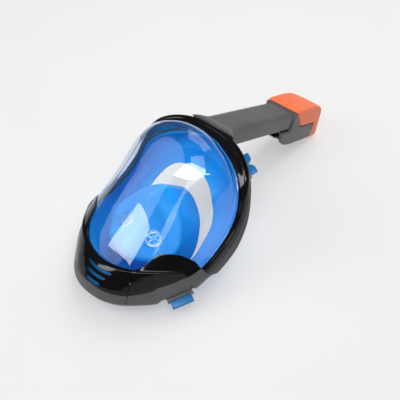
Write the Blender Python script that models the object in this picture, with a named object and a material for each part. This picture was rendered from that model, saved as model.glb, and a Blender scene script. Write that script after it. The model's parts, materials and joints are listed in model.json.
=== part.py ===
"""Full-face snorkel mask: viewing lens, frame, silicone skirt, chin piece and dry-top snorkel.

Metres, +Z up. The mask is drawn in its own frame (X to the wearer's left, Y up the face,
Z out of the lens) and the empty `rest_pose` lays it down as it rests on a table.
"""

import math

import bmesh
import bpy
import numpy as np
from mathutils import Vector

NAME = "snorkel_mask"

# Driving dimensions -------------------------------------------------------------------
REST_TILT = math.radians(25.4)  # how far the forehead is raised when the mask lies down
GAP = 0.0003  # clearance between pieces that touch
# Stations along one half of the frame; the rim steps down where the wings begin.
STATION_T = [i / 2 for i in range(18)] + [8.88, 8.97] + [9.5 + i / 2 for i in range(10)]

# Half outlines of the mask, from the top centre round the wearer's left to the chin.
LENS_EDGE = [
    (0.0, 0.092, 0.000), (0.018, 0.090, -0.001), (0.034, 0.0845, -0.004),
    (0.050, 0.077, -0.007), (0.063, 0.0665, -0.011), (0.073, 0.052, -0.019),
    (0.0775, 0.035, -0.032), (0.0800, 0.0115, -0.038), (0.0815, -0.0145, -0.0360),
    (0.0812, -0.034, -0.031), (0.0715, -0.0535, -0.0185), (0.0565, -0.0690, -0.0055),
    (0.0376, -0.0826, 0.0025), (0.018, -0.090, 0.0038), (0.0, -0.0925, 0.004),
]
RIM_EDGE = [
    (0.0, 0.105, -0.001), (0.022, 0.105, -0.001), (0.0415, 0.1005, -0.003),
    (0.0585, 0.0915, -0.005), (0.0710, 0.080, -0.010), (0.0798, 0.062, -0.021),
    (0.0848, 0.039, -0.0385), (0.0870, 0.0125, -0.0470), (0.0880, -0.0145, -0.0460),
    (0.0878, -0.0357, -0.0385), (0.0760, -0.0560, -0.0245), (0.0602, -0.0737, -0.0125),
    (0.0400, -0.0900, -0.0060), (0.0195, -0.0985, -0.0035), (0.0, -0.1010, -0.0030),
]
SKIRT_REAR = [
    (0.0, 0.086, -0.036), (0.018, 0.0845, -0.037), (0.033, 0.080, -0.040),
    (0.047, 0.071, -0.046), (0.059, 0.059, -0.054), (0.068, 0.045, -0.062),
    (0.074, 0.028, -0.069), (0.077, 0.007, -0.073), (0.077, -0.015, -0.075),
    (0.074, -0.034, -0.075), (0.067, -0.052, -0.073), (0.054, -0.068, -0.0685),
    (0.036, -0.081, -0.0625), (0.018, -0.088, -0.0595), (0.0, -0.090, -0.0585),
]
# Outer edge of the wings and the chin, over the last part of the same outline.
COVER_FIRST = 9
COVER_EDGE = [
    (0.0915, -0.0345, -0.0395), (0.0845, -0.061, -0.0395), (0.0685, -0.0885, -0.034),
    (0.0420, -0.1150, -0.0190), (0.0215, -0.1260, -0.0120), (0.0, -0.1290, -0.0100),
]
COVER_MIDDLE_Y = -0.020
RECESS = 0.0035
RECESS_T = (9.75, 9.9, 11.05, 11.2)
# How far the gloss accent reaches in over the lens, as a fraction of the lens outline.
COVER_RISE_T = (9.0, 9.5, 11.3, 11.9)
COVER_RISE = (0.0045, 0.0062, 0.0062, 0.0045)
HUMP_T = (9.0, 9.2, 9.5, 10.0, 10.5, 11.0, 11.5, 11.85, 14.0)
HUMP_Q = (0.955, 0.91, 0.855, 0.815, 0.80, 0.84, 0.925, 0.955, 0.955)
# Where the gloss panel gives way to the grey cover, from the lens edge to the outer edge.
SPLIT = [0.28, 0.40, 0.54, 0.72, 0.72, 0.68]

LENS_CENTRE_Y = 0.0005
LENS_MIDDLE = 0.0276  # height of the lens over its centre
LENS_SLOPE_UP = 0.30  # the lens stands further forward towards the forehead
LENS_SLOPE_DOWN = 0.25
LENS_FALL_X = 0.054
LENS_FALL_LESS = 0.32  # the sides fall less towards the chin
LENS_FALL_Y = 0.020
LENS_HALF_X = 0.079
LENS_HALF_Y = 0.095
LENS_THICK = 0.0022
LENS_POWER_T = (0.0, 4.0, 6.5, 14.0)
LENS_POWER = (6.5, 6.5, 14.0, 14.0)  # how squarely the lens turns down at its edge
REAR_MORE_T = (4.0, 5.5, 7.0, 8.5, 9.0)
REAR_MORE = (0.0, 0.0028, 0.0042, 0.0034, 0.0)  # how far the rear frame stands out past the front one
LIP_T = (0.0, 5.5, 8.0, 14.0)
LIP_WIDTH = (0.028, 0.028, 0.019, 0.019)  # of the skirt's face lip
LENS_RINGS = (1.0, 0.992, 0.965, 0.92, 0.84, 0.70, 0.50, 0.26)

# Snorkel, in its own frame: w along the tube from the neck seam, v forward, x across.
SEAM = Vector((0.0, 0.118, -0.0141))
SNORKEL_LEAN = math.atan2(0.75, 0.66)  # back from the plane of the mask
TUBE_HALF = 0.022
TUBE_DEPTH = 0.024
TUBE_WALL = 0.0022
TUBE_LENGTH = 0.139
SPIGOT_LENGTH = 0.020
HEAD_HALF = 0.0245
HEAD_WALL = 0.0022
FLOAT_RADIUS = 0.0077
FLOAT_X = 0.0102
FLOAT_V = -0.0100
FLOAT_SEAT_W = 0.196

SLOT_ROWS = [(-0.1015, 0.019), (-0.1087, 0.0152), (-0.1160, 0.0112)]  # y, half length
VALVE_AT = (0.0225, -0.0385, -0.0125)
VALVE_RADIUS = 0.0092

# Head, neck and grille: profiles as (w, v) points in the snorkel's own frame.
NECK_ROWS = [  # w, half width, front, back, corner
    (-0.0165, 0.0330, 0.0010, -0.0230, 0.0080), (-0.0110, 0.0290, 0.0012, -0.0243, 0.0075),
    (-0.0050, 0.0245, 0.0006, -0.0242, 0.0068), (0.0, TUBE_HALF, 0.0, -TUBE_DEPTH, 0.0065),
]
HOOD_PROFILE = [
    (0.1394, -0.0243), (0.1394, 0.0000), (0.1415, 0.0018), (0.1512, -0.0066), (0.1645, -0.0206),
    (0.2056, -0.0209), (0.2056, -0.0426), (0.1500, -0.0450), (0.1330, -0.0432), (0.1215, -0.0360),
    (0.1180, -0.0243),
]
CAP_PROFILE = [
    (0.1424, 0.0024), (0.1500, 0.0044), (0.1800, 0.0058), (0.2030, 0.0052), (0.2150, 0.0022),
    (0.2215, -0.0040), (0.2310, -0.0385), (0.2280, -0.0420), (0.2064, -0.0430), (0.2064, -0.0202),
    (0.1652, -0.0199), (0.1520, -0.0060),
]
CAP_HOLLOW = [
    (0.1690, -0.0260), (0.1690, -0.0060), (0.1560, 0.0005), (0.1800, 0.0034), (0.2020, 0.0028),
    (0.2135, 0.0002), (0.2190, -0.0055), (0.2280, -0.0370), (0.2260, -0.0400), (0.2085, -0.0404),
    (0.2085, -0.0180), (0.2035, -0.0180), (0.2035, -0.0260),
]
GRILLE = [
    (0.1186, -0.0247), (0.1222, -0.0358), (0.1336, -0.0428), (0.1466, -0.0444), (0.1466, -0.0424),
    (0.1345, -0.0409), (0.1239, -0.0345), (0.1207, -0.0247),
]
GRILLE_WINDOW = [
    (0.1150, -0.0230), (0.1150, -0.0480), (0.1470, -0.0480), (0.1470, -0.0420),
    (0.1348, -0.0405), (0.1243, -0.0341), (0.1212, -0.0230),
]
GRILLE_SLOTS = [(0.1215, -0.0290), (0.1235, -0.0330), (0.1285, -0.0385), (0.1350, -0.0420)]
HOOD_HOLLOW = [
    (0.1200, -0.0270), (0.1235, -0.0352), (0.1342, -0.0414), (0.1505, -0.0426), (0.2034, -0.0404),
    (0.2034, -0.0150), (0.1665, -0.0150), (0.1500, -0.0150), (0.1440, -0.0270),
]

# Strap clips: t is the place along the outline, out and rise are measured from the frame.
CLIP_LENGTH = 0.0255
CLIP_BARREL = 0.0028
CLIP_REACH = 0.0115  # from the pin to the tip
CLIP_PIN = 0.0011
CLIP_BORE = 0.0014
CLIP_POCKET = (0.0050, 0.0078)  # the strap's pocket, measured from the pin
CLIP_POCKET_FRONT = 0.0006  # it is open at the back and closed in front
CLIP_NOTCH_HALF = 0.0058
CLIP_NOTCH_DEPTH = 0.0046
FORK_EAR = 0.0026
FORK_HALF = 0.0036
FORK_BACK = -0.0032
FORK_FRONT = {"upper": 0.0053, "lower": 0.0055}
FORK_GAP = ((-0.0060, -0.0080), (0.0060, 0.0034))
BEYOND = 0.01  # how far a cutter runs past what it cuts
UPPER_CLIP_T = 2.85
UPPER_CLIP_OUT = 0.0106
UPPER_CLIP_RISE = -0.0202
LOWER_CLIP_T = 10.475
LOWER_CLIP_RISE = -0.0118

# Breathing cup: half loops at its front wall and at its back edge.
CUP_FRONT = [
    (0.0, 0.0155, 0.004), (0.010, 0.0135, -0.002), (0.027, 0.003, -0.012), (0.041, -0.014, -0.020),
    (0.048, -0.031, -0.024), (0.043, -0.050, -0.024), (0.025, -0.066, -0.017), (0.0, -0.072, -0.010),
]
CUP_REAR = [
    (0.0, 0.034, -0.040), (0.018, 0.029, -0.046), (0.037, 0.012, -0.053), (0.050, -0.012, -0.056),
    (0.054, -0.036, -0.0575), (0.046, -0.058, -0.0545), (0.0255, -0.073, -0.0500), (0.0, -0.078, -0.048),
]
CUP_DOME = 0.006  # how far the cup's front wall rises inside its rim


COLOURS = {
    "lens": ((0.80, 0.90, 0.95), 0.0, 0.05),
    "gloss": ((0.012, 0.012, 0.013), 0.0, 0.15),
    "grey": ((0.14, 0.14, 0.145), 0.0, 0.45),
    "blue": ((0.10, 0.35, 0.75), 0.0, 0.40),
    "clip": ((0.0, 0.18, 0.50), 0.0, 0.40),
    "orange": ((0.95, 0.19, 0.075), 0.0, 0.45),
    "rubber": ((0.02, 0.02, 0.022), 0.0, 0.70),
    "clear": ((0.75, 0.82, 0.85), 0.0, 0.15),
    "white": ((0.75, 0.75, 0.74), 0.0, 0.50),
    "steel": ((0.55, 0.55, 0.56), 1.0, 0.30),
}


# Scene --------------------------------------------------------------------------------
for old in list(bpy.data.objects):
    bpy.data.objects.remove(old, do_unlink=True)

parts = bpy.data.collections.new(NAME)
cutters = bpy.data.collections.new("cutters")
cutters.hide_render = True
bpy.context.scene.collection.children.link(parts)
bpy.context.scene.collection.children.link(cutters)

rest_pose = bpy.data.objects.new("rest_pose", None)
parts.objects.link(rest_pose)


def material(name, colour):
    base, metallic, roughness = COLOURS[colour]
    made = bpy.data.materials.new(name)
    made.use_nodes = True
    shader = made.node_tree.nodes["Principled BSDF"]
    shader.inputs["Base Color"].default_value = (*base, 1.0)
    shader.inputs["Metallic"].default_value = metallic
    shader.inputs["Roughness"].default_value = roughness
    return made


def add(name, mesh, colour):
    """Puts a finished piece in the mask's collection."""
    obj = bpy.data.objects.new(name, mesh)
    obj.data.materials.append(material(name, colour))
    obj.parent = rest_pose
    parts.objects.link(obj)
    return obj


def cutter(name, mesh):
    obj = bpy.data.objects.new(name, mesh)
    obj.display_type = "WIRE"
    obj.hide_render = True
    obj.parent = rest_pose
    cutters.objects.link(obj)
    return obj


def cut(target, *tools):
    for tool in tools:
        step = target.modifiers.new(tool.name, "BOOLEAN")
        step.operation = "DIFFERENCE"
        step.solver = "EXACT"
        step.object = tool


# Meshes -------------------------------------------------------------------------------
def loft(name, sections, closed=False, fans=False):
    """Joins equal closed sections in order; the ends are capped unless the last meets the first."""
    count = len(sections[0])
    mesh = bmesh.new()
    rows = [[mesh.verts.new(point) for point in section] for section in sections]
    pairs = list(zip(rows[:-1], rows[1:]))
    if closed:
        pairs.append((rows[-1], rows[0]))
    elif fans:
        for row in (rows[0], rows[-1]):
            middle = mesh.verts.new(sum((vert.co for vert in row), Vector()) / count)
            for i in range(count):
                mesh.faces.new((row[i], row[(i + 1) % count], middle))
    else:
        mesh.faces.new(rows[0])
        mesh.faces.new(rows[-1])
    for one, two in pairs:
        for i in range(count):
            j = (i + 1) % count
            mesh.faces.new((one[i], one[j], two[j], two[i]))
    bmesh.ops.recalc_face_normals(mesh, faces=mesh.faces)
    if mesh.calc_volume(signed=True) < 0:
        bmesh.ops.reverse_faces(mesh, faces=mesh.faces)
    data = bpy.data.meshes.new(name)
    mesh.to_mesh(data)
    mesh.free()
    return data


def disc(centre, axis, radius, sides):
    """A circle of points about an axis."""
    turn = Vector(axis).to_track_quat("Z", "X").to_matrix()
    steps = [2 * math.pi * i / sides for i in range(sides)]
    return [centre + turn @ Vector((radius * math.cos(a), radius * math.sin(a), 0)) for a in steps]


def turned(name, centre, axis, profile, sides=20, closed=False):
    """A turned piece: profile is (distance along the axis, radius) pairs."""
    axis = Vector(axis).normalized()
    centre = Vector(centre)
    sections = [disc(centre + axis * along, axis, radius, sides) for along, radius in profile]
    return loft(name, sections, closed)


# Outlines -----------------------------------------------------------------------------
def spline(points, t, mirrored=True):
    """A point of the Catmull-Rom curve through the points; its ends mirror in X."""
    def at(k):
        if k < 0:
            return np.array(points[-k]) * (-1, 1, 1)
        if k > last:
            return np.array(points[2 * last - k]) * (-1, 1, 1)
        return np.array(points[k])

    last = len(points) - 1
    k = min(int(t), last - 1)
    f = t - k
    a, b, c, d = at(k - 1), at(k), at(k + 1), at(k + 2)
    if not mirrored and k == 0:
        a = 2 * b - c
    return 0.5 * (2 * b + (c - a) * f + (2 * a - 5 * b + 4 * c - d) * f * f
                  + (3 * b - a - 3 * c + d) * f ** 3)


def stations():
    """(t, side) round the whole outline, from the top centre."""
    right = [(t, 1) for t in STATION_T]
    return right + [(t, -1) for t, _ in reversed(right[1:-1])]


def sided(point, side):
    return Vector((point[0] * side, point[1], point[2]))


def cover_edge(t):
    """The outer edge of the wings and chin at t, drawn in where the lower strap clip sits."""
    edge = spline(COVER_EDGE, t - COVER_FIRST, mirrored=False)
    depth = float(np.interp(t, RECESS_T, (0.0, RECESS, RECESS, 0.0)))
    inward = np.array((-edge[0], COVER_MIDDLE_Y - edge[1], 0.0))
    return edge + inward / np.linalg.norm(inward) * depth


def inward_at(point):
    """From a point of the cover's edge towards the middle of the mask."""
    return Vector((-point.x, COVER_MIDDLE_Y - point.y, 0)).normalized()


def rim(t, out, rise, side=1):
    """A point `out` metres outside the lens edge and `rise` above the frame's slope."""
    lens, edge = spline(LENS_EDGE, t), spline(RIM_EDGE, t)
    across = edge - lens
    width = math.hypot(across[0], across[1])
    direction = across[:2] / width
    slope = across[2] / width if out > 0 else 0.0
    x, y = lens[:2] + direction * out
    return sided((x, y, lens[2] + slope * out + rise), side)


def rim_width(t):
    across = spline(RIM_EDGE, t) - spline(LENS_EDGE, t)
    return math.hypot(across[0], across[1])


def lens_point(t, q, drop=0.0, side=1):
    """A point of the lens: q is 1 at its edge and 0 at its centre."""
    x, y, edge_z = spline(LENS_EDGE, t)
    x, y = x * q, LENS_CENTRE_Y + (y - LENS_CENTRE_Y) * q
    fall = LENS_FALL_X + LENS_FALL_LESS * min(y, 0.0)
    top = LENS_MIDDLE - fall * (x / LENS_HALF_X) ** 3
    if y > 0:
        top += LENS_SLOPE_UP * y - LENS_FALL_Y * (y / LENS_HALF_Y) ** 4
    else:
        top += LENS_SLOPE_DOWN * y
    share = math.sqrt(max(0.0, 1 - q ** float(np.interp(t, LENS_POWER_T, LENS_POWER))))
    return sided((x, y, edge_z + (top - edge_z) * share - drop), side)


def ring(name, section):
    """A ring round the whole outline; section(t, side) gives its points at one station."""
    return loft(name, [section(t, side) for t, side in stations()], closed=True)


# Lens, frame and skirt ----------------------------------------------------------------
def build_lens():
    loops = [[lens_point(t, q, 0, side) for t, side in stations()] for q in reversed(LENS_RINGS[1:])]
    flange = [(0.0, -0.0002), (0.004, -0.0002), (0.004, -0.0022), (0.0, -0.0022), (-0.0022, -0.0022)]
    loops += [[rim(t, out, rise, side) for t, side in stations()] for out, rise in flange]
    inner = [[lens_point(t, q * 0.972, LENS_THICK, side) for t, side in stations()]
             for q in LENS_RINGS[2:]]
    return add("lens", loft("lens", loops + inner, fans=True), "lens")


def gasket_section(t, side):
    corners = [(0.0004, -0.0026), (0.0036, -0.0026), (0.0036, -0.0039), (0.0004, -0.0039)]
    return [rim(t, out, rise, side) for out, rise in corners]


def front_frame_section(t, side):
    width = rim_width(t)
    sink = float(np.interp(t, (8.88, 8.97), (0.0, 1.0)))  # it runs on under the wings and chin
    corners = [
        (0.0010, 0.0004), (0.0014, 0.0022), (0.30 * width, 0.0030), (0.62 * width, 0.0020),
        (0.70 * width, 0.0026), (0.90 * width, 0.0014), (width, -0.0012), (width, -0.0058),
        (0.0044, -0.0058), (0.0044, 0.0004),
    ]
    low = [
        (0.0010, 0.0003), (0.0014, 0.0011), (0.0030, 0.0010), (0.0040, 0.0008),
        (0.0046, 0.0004), (0.0048, -0.0006), (width, -0.0035), (width, -0.0058),
        (0.0044, -0.0058), (0.0044, 0.0003),
    ]
    return [rim(t, a + (c - a) * sink, b + (d - b) * sink, side)
            for (a, b), (c, d) in zip(corners, low)]


def rear_frame_section(t, side):
    width = rim_width(t) + float(np.interp(t, REAR_MORE_T, REAR_MORE))
    corners = [
        (0.0, -0.0044), (0.0040, -0.0044), (0.0040, -0.0064), (width - 0.0002, -0.0064),
        (width, -0.0078), (width - 0.0010, -0.0122), (width - 0.0030, -0.0134),
        (0.0072, -0.0134), (0.0072, -0.0100), (0.0, -0.0100),
    ]
    return [rim(t, out, rise, side) for out, rise in corners]


def skirt_section(t, side):
    flange = min(0.0066, rim_width(t))
    outer = [rim(t, -0.0020, -0.0103, side), rim(t, flange, -0.0103, side)]
    fold = rim(t, flange - 0.0006, -0.0150, side)
    rear = sided(spline(SKIRT_REAR, t), side)
    inward = Vector((-rear.x, -0.010 - rear.y, 0)).normalized()
    lip = rear + inward * float(np.interp(t, LIP_T, LIP_WIDTH)) + Vector((0, 0, 0.010))
    half = fold.lerp(rear, 0.5) - inward * 0.0015
    lift = Vector((0, 0, 0.0022))
    return outer + [
        fold, half, rear - inward * 0.0005 + lift, rear + inward * 0.0025, lip,
        lip + lift - inward * 0.0003, rear + inward * 0.0045 + lift,
        half + inward * 0.0024, rim(t, -0.0020, -0.0128, side),
    ]


# Chin piece and wings -----------------------------------------------------------------
def cover_point(t, u, lift, side=1):
    """A point of the chin and wing surface: u is 0 at the lens edge and 1 at the outer edge."""
    start = spline(LENS_EDGE, t) + (0, 0, np.interp(t, COVER_RISE_T, COVER_RISE))
    end = cover_edge(t)
    across = end - start
    along = cover_edge(min(t + 0.05, 14)) - cover_edge(max(t - 0.05, COVER_FIRST))
    up = np.cross(along, across)
    up = up / np.linalg.norm(up)
    up = up if up[2] > 0 else -up
    bulge = np.interp(t, (9, 9.6, 11.3, 12, 14), (0.0, 0.002, 0.002, 0.0015, 0.004)) * 4 * u * (1 - u)
    return sided(start + across * u + up * (bulge + lift), side)


def share_of(row, t):
    """The value of a row given at each control point of the cover."""
    return float(np.interp(t - COVER_FIRST, range(len(row)), row))


def accent_section(t, side):
    """The gloss panel: over the edge of the lens, then down to the grey cover."""
    thick = 0.0018
    split = share_of(SPLIT, t)
    q = float(np.interp(t, HUMP_T, HUMP_Q))
    over = [lens_point(t, f, -0.0012, side) for f in (q, (q + 0.97) / 2, 0.97)]
    top = [point + Vector((0, 0, thick)) for point in over]
    top[0] = over[0] + Vector((0, 0, 0.0006))
    shares = (0.03, split / 2, split)
    outer = [cover_point(t, u, 0.0, side) for u in shares]
    inner = [cover_point(t, u, -thick, side) for u in reversed(shares)]
    return top + outer + inner + list(reversed(over))


def cover_section(t, side):
    """The grey cover: from the gloss panel to its outer edge, with a return wall behind."""
    split = share_of(SPLIT, t) + 0.012
    middle = (split + 1) / 2
    outer = [cover_point(t, u, 0.0, side) for u in (split, middle, 0.95, 1.0)]
    foot = sided(cover_edge(t) + (0, 0, -0.0060), side)
    inward = inward_at(foot) * 0.0018
    inner = [cover_point(t, u, -0.0018, side) for u in (0.95, middle, split)]
    return outer + [foot, foot + inward, outer[-1] + inward * 1.05 + Vector((0, 0, -0.0012))] + inner


def span(first, last, count):
    return [first + (last - first) * i / count for i in range(count + 1)]


def across_chin(count=5, first=12.01):
    half = [(t, 1) for t in span(first, 14.0, count)]
    return half + [(t, -1) for t, _ in reversed(half[:-1])]


def slot_cutters():
    """Three curved slots across the chin, each lying on the surface of the gloss panel."""
    made = []
    for number, (y, half) in enumerate(SLOT_ROWS):
        sections = []
        for i in range(7):
            x = half * (2 * i / 6 - 1)
            sag = 0.0035 * (x / 0.02) ** 2
            corners = ((-0.0017, -0.012), (0.0017, -0.012), (0.0017, 0.012), (-0.0017, 0.012))
            sections.append([Vector((x, y + sag + dy, dz)) for dy, dz in corners])
        made.append(cutter(f"slot_{number}", loft(f"slot_{number}", sections)))
    return made


def build_chin():
    accent = add("chin_accent", loft("chin_accent", [accent_section(t, s) for t, s in across_chin()]),
                 "gloss")
    add("chin_cover", loft("chin_cover", [cover_section(t, s) for t, s in across_chin()]), "grey")
    return accent


def build_wing(side, tag):
    steps = span(COVER_FIRST + 0.01, 11.99, 20)
    add(f"wing_accent_{tag}", loft("wing_accent", [accent_section(t, side) for t in steps]), "gloss")
    return add(f"wing_{tag}", loft("wing", [cover_section(t, side) for t in steps]), "grey")


# Snorkel ------------------------------------------------------------------------------
def snorkel(x, w, v):
    """A point of the snorkel's own frame, in the mask's."""
    along = Vector((0, math.cos(SNORKEL_LEAN), -math.sin(SNORKEL_LEAN)))
    forward = Vector((0, math.sin(SNORKEL_LEAN), math.cos(SNORKEL_LEAN)))
    return SEAM + Vector((x, 0, 0)) + along * w + forward * v


def oblong(w, half, top, bottom, corner, drop=None):
    """A rectangle with cut corners, across the snorkel at w."""
    drop = corner if drop is None else drop
    points = [(half - corner, top), (half, top - drop), (half, bottom + drop), (half - corner, bottom)]
    points += [(-x, v) for x, v in reversed(points)]
    return [snorkel(x, w, v) for x, v in points]


def build_tube():
    loops = [
        oblong(-SPIGOT_LENGTH, 0.0170, -0.0040, -0.0200, 0.003),
        oblong(GAP, 0.0170, -0.0040, -0.0200, 0.003),
        oblong(GAP, TUBE_HALF, 0, -TUBE_DEPTH, 0.0065, 0.0030),
        oblong(TUBE_LENGTH, TUBE_HALF, 0, -TUBE_DEPTH, 0.0065, 0.0030),
        oblong(TUBE_LENGTH, TUBE_HALF - TUBE_WALL, -TUBE_WALL, TUBE_WALL - TUBE_DEPTH, 0.0055, 0.0025),
        oblong(0.004, TUBE_HALF - TUBE_WALL, -TUBE_WALL, TUBE_WALL - TUBE_DEPTH, 0.0055, 0.0025),
        oblong(0.001, 0.0148, -0.0062, -0.0178, 0.002),
        oblong(-SPIGOT_LENGTH, 0.0148, -0.0062, -0.0178, 0.002),
    ]
    tube = add("snorkel_tube", loft("snorkel_tube", loops, closed=True), "grey")
    hole = [oblong_back(v, 0.0066, 0.0046) for v in (-0.0190, -0.0300)]
    cut(tube, cutter("latch_hole", loft("latch_hole", hole)), *frame_clearance())


def prism(name, profile, half):
    """A side profile of the snorkel, (w, v) pairs, carried across it."""
    return loft(name, [[snorkel(x, w, v) for w, v in profile] for x in (-half, half)])


def crowned(name, profile, half, edge=0.003, middle=(0.1750, -0.0200)):
    """A prism whose two long edges are cut back towards the middle of its profile."""
    def drawn_in(amount):
        points = []
        for w, v in profile:
            away = Vector((w - middle[0], v - middle[1]))
            away = away * (1 - amount / away.length)
            points.append((middle[0] + away.x, middle[1] + away.y))
        return points

    rows = [(-half, edge), (-half + edge, 0.0), (half - edge, 0.0), (half, edge)]
    return loft(name, [[snorkel(x, w, v) for w, v in drawn_in(amount)] for x, amount in rows])


def build_neck():
    rows = [oblong(w, half, top, bottom, corner, corner / 2) for w, half, top, bottom, corner in NECK_ROWS]
    neck = add("snorkel_neck", loft("snorkel_neck", rows), "grey")
    socket = [oblong(w, 0.0173, -0.0037, -0.0203, 0.003) for w in (-0.030, 0.005)]
    cut(neck, cutter("socket", loft("socket", socket)))
    cut(neck, *frame_clearance())


def frame_clearance():
    """The space taken by the frame and the skirt at the top, cleared from the neck and spigot."""
    made = []
    for number, (y, z) in enumerate(((0.1059, -0.0160), (0.1005, -0.0600))):
        rows = [[Vector((x, a, b)) for a, b in ((0.05, z), (y, z), (y, 0.06), (0.05, 0.06))]
                for x in (-0.06, 0.06)]
        made.append(cutter(f"frame_clearance_{number}", loft("frame_clearance", rows)))
    return made


def oblong_back(v, half_x, half_w, middle=0.0130):
    """A rectangle in the plane of the snorkel's back face."""
    corners = ((-half_x, -half_w), (half_x, -half_w), (half_x, half_w), (-half_x, half_w))
    return [snorkel(x, middle + w, v) for x, w in corners]


def build_latch():
    """The release button stands in the back of the tube, just above the neck."""
    rows = [oblong_back(-0.0206, 0.0063, 0.0043), oblong_back(-0.0256, 0.0063, 0.0043),
            oblong_back(-0.0262, 0.0055, 0.0035)]
    add("latch_button", loft("latch_button", rows), "clip")


def build_divider():
    """Splits the tube into an inhale and an exhale channel."""
    rows = [[snorkel(x, w, v) for x, w in ((-0.0006, 0.021), (0.0006, 0.021), (0.0006, 0.137),
                                           (-0.0006, 0.137))] for v in (-0.0026, -0.0214)]
    add("tube_divider", loft("tube_divider", rows), "grey")


def build_head():
    hood = add("hood", crowned("hood", HOOD_PROFILE, HEAD_HALF), "grey")
    cut(hood, cutter("hood_hollow", prism("hood_hollow", HOOD_HOLLOW, HEAD_HALF - HEAD_WALL)))
    cut(hood, cutter("hood_window", prism("hood_window", GRILLE_WINDOW, 0.0203)))
    cut(hood, cutter("hood_port", loft("hood_port", [oblong(w, 0.0188, -0.0030, -0.0260, 0.004)
                                                     for w in (0.136, 0.160)])))
    grille = add("intake_grille", prism("intake_grille", GRILLE, 0.0200), "gloss")
    cut(grille, *grille_cutters())
    cap = add("cap", crowned("cap", CAP_PROFILE, HEAD_HALF), "orange")
    cut(cap, cutter("cap_hollow", prism("cap_hollow", CAP_HOLLOW, HEAD_HALF - HEAD_WALL)))


def grille_cutters():
    """Rows of slots through the sloping face of the grille."""
    made = []
    for row, (w, v) in enumerate(GRILLE_SLOTS):
        sections = []
        for x in (-0.0165, 0.0165):
            sections.append([snorkel(x, w + a, v + b) for a, b in
                             ((-0.0045, 0.0015), (0.0020, 0.0060), (0.0032, 0.0044), (-0.0033, -0.0001))])
        made.append(cutter(f"grille_slot_{row}", loft(f"grille_slot_{row}", sections)))
    return made


def build_floats():
    """The cage that guides two floats up to their seats, and the bar that keeps them in."""
    cage = add("float_cage", loft("float_cage", [oblong(w, 0.0216, -0.0006, -0.0192, 0.002)
                                                 for w in (0.1722, 0.1990)]), "white")
    for side in (-1, 1):
        x = FLOAT_X * side
        along = snorkel(0, 1, 0) - snorkel(0, 0, 0)
        bore = turned("bore", snorkel(x, 0, FLOAT_V), along,
                      [(0.160, 0.0083), (FLOAT_SEAT_W, 0.0083), (FLOAT_SEAT_W + 0.0001, 0.005),
                       (0.205, 0.005)], 16)
        cut(cage, cutter("float_bore", bore))
        rest = FLOAT_SEAT_W - 0.0062
        ball = [(rest + FLOAT_RADIUS * math.sin(a), FLOAT_RADIUS * math.cos(a))
                for a in (math.radians(d) for d in (-84, -60, -35, -12, 12, 35, 60, 84))]
        tag = "l" if side > 0 else "r"
        add(f"float_{tag}", turned("float", snorkel(x, 0, FLOAT_V), along, ball, 14), "rubber")
    keeper = add("float_keeper", loft("float_keeper", [oblong(w, 0.0214, -0.0010, -0.0190, 0.002)
                                                       for w in (0.1702, 0.1718)]), "white")
    for side in (-1, 1):
        along = snorkel(0, 1, 0) - snorkel(0, 0, 0)
        hole = turned("keeper_hole", snorkel(FLOAT_X * side, 0, FLOAT_V), along,
                      [(0.160, 0.0055), (0.175, 0.0055)], 14)
        cut(keeper, cutter("keeper_hole", hole))


# Clips --------------------------------------------------------------------------------
def local_frame(centre, along, out):
    """Maps (a, b, c) to the mask: a along the clip's pin, b outwards, c to the front."""
    along = Vector(along).normalized()
    out = (Vector(out) - along * along.dot(Vector(out))).normalized()
    front = along.cross(out)
    front = front if front.z > 0 else -front
    centre = Vector(centre)
    return lambda a, b, c: centre + along * a + out * b + front * c


def block(place, low, high):
    """A box between two corners of a local frame, as the sections of a loft."""
    (a0, b0, c0), (a1, b1, c1) = low, high
    return [[place(a, b, c) for b, c in ((b0, c0), (b1, c0), (b1, c1), (b0, c1))] for a in (a0, a1)]


def rod(name, place, radius, first, last, sides=12):
    """A round bar along the clip's pin."""
    rows = []
    for a in (first, last):
        rows.append([place(a, radius * math.cos(2 * math.pi * i / sides),
                           radius * math.sin(2 * math.pi * i / sides)) for i in range(sides)])
    return loft(name, rows)


def build_fork(level, tag, place):
    """The fork that holds a strap clip, and the clip's pin."""
    half = CLIP_LENGTH / 2
    ends = half + FORK_EAR
    solid = block(place, (-ends, -FORK_HALF, FORK_BACK), (ends, FORK_HALF, FORK_FRONT[level]))
    fork = add(f"clip_fork_{tag}", loft("clip_fork", solid), "grey")
    low, high = FORK_GAP
    gap = block(place, (-half - GAP, *low), (half + GAP, *high))
    cut(fork, cutter("fork_gap", loft("fork_gap", gap)))
    cut(fork, cutter("fork_bore", rod("fork_bore", place, CLIP_BORE, -half - BEYOND, half + BEYOND)))
    add(f"clip_pin_{tag}", rod("clip_pin", place, CLIP_PIN, -ends + GAP, ends - GAP), "steel")


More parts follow.
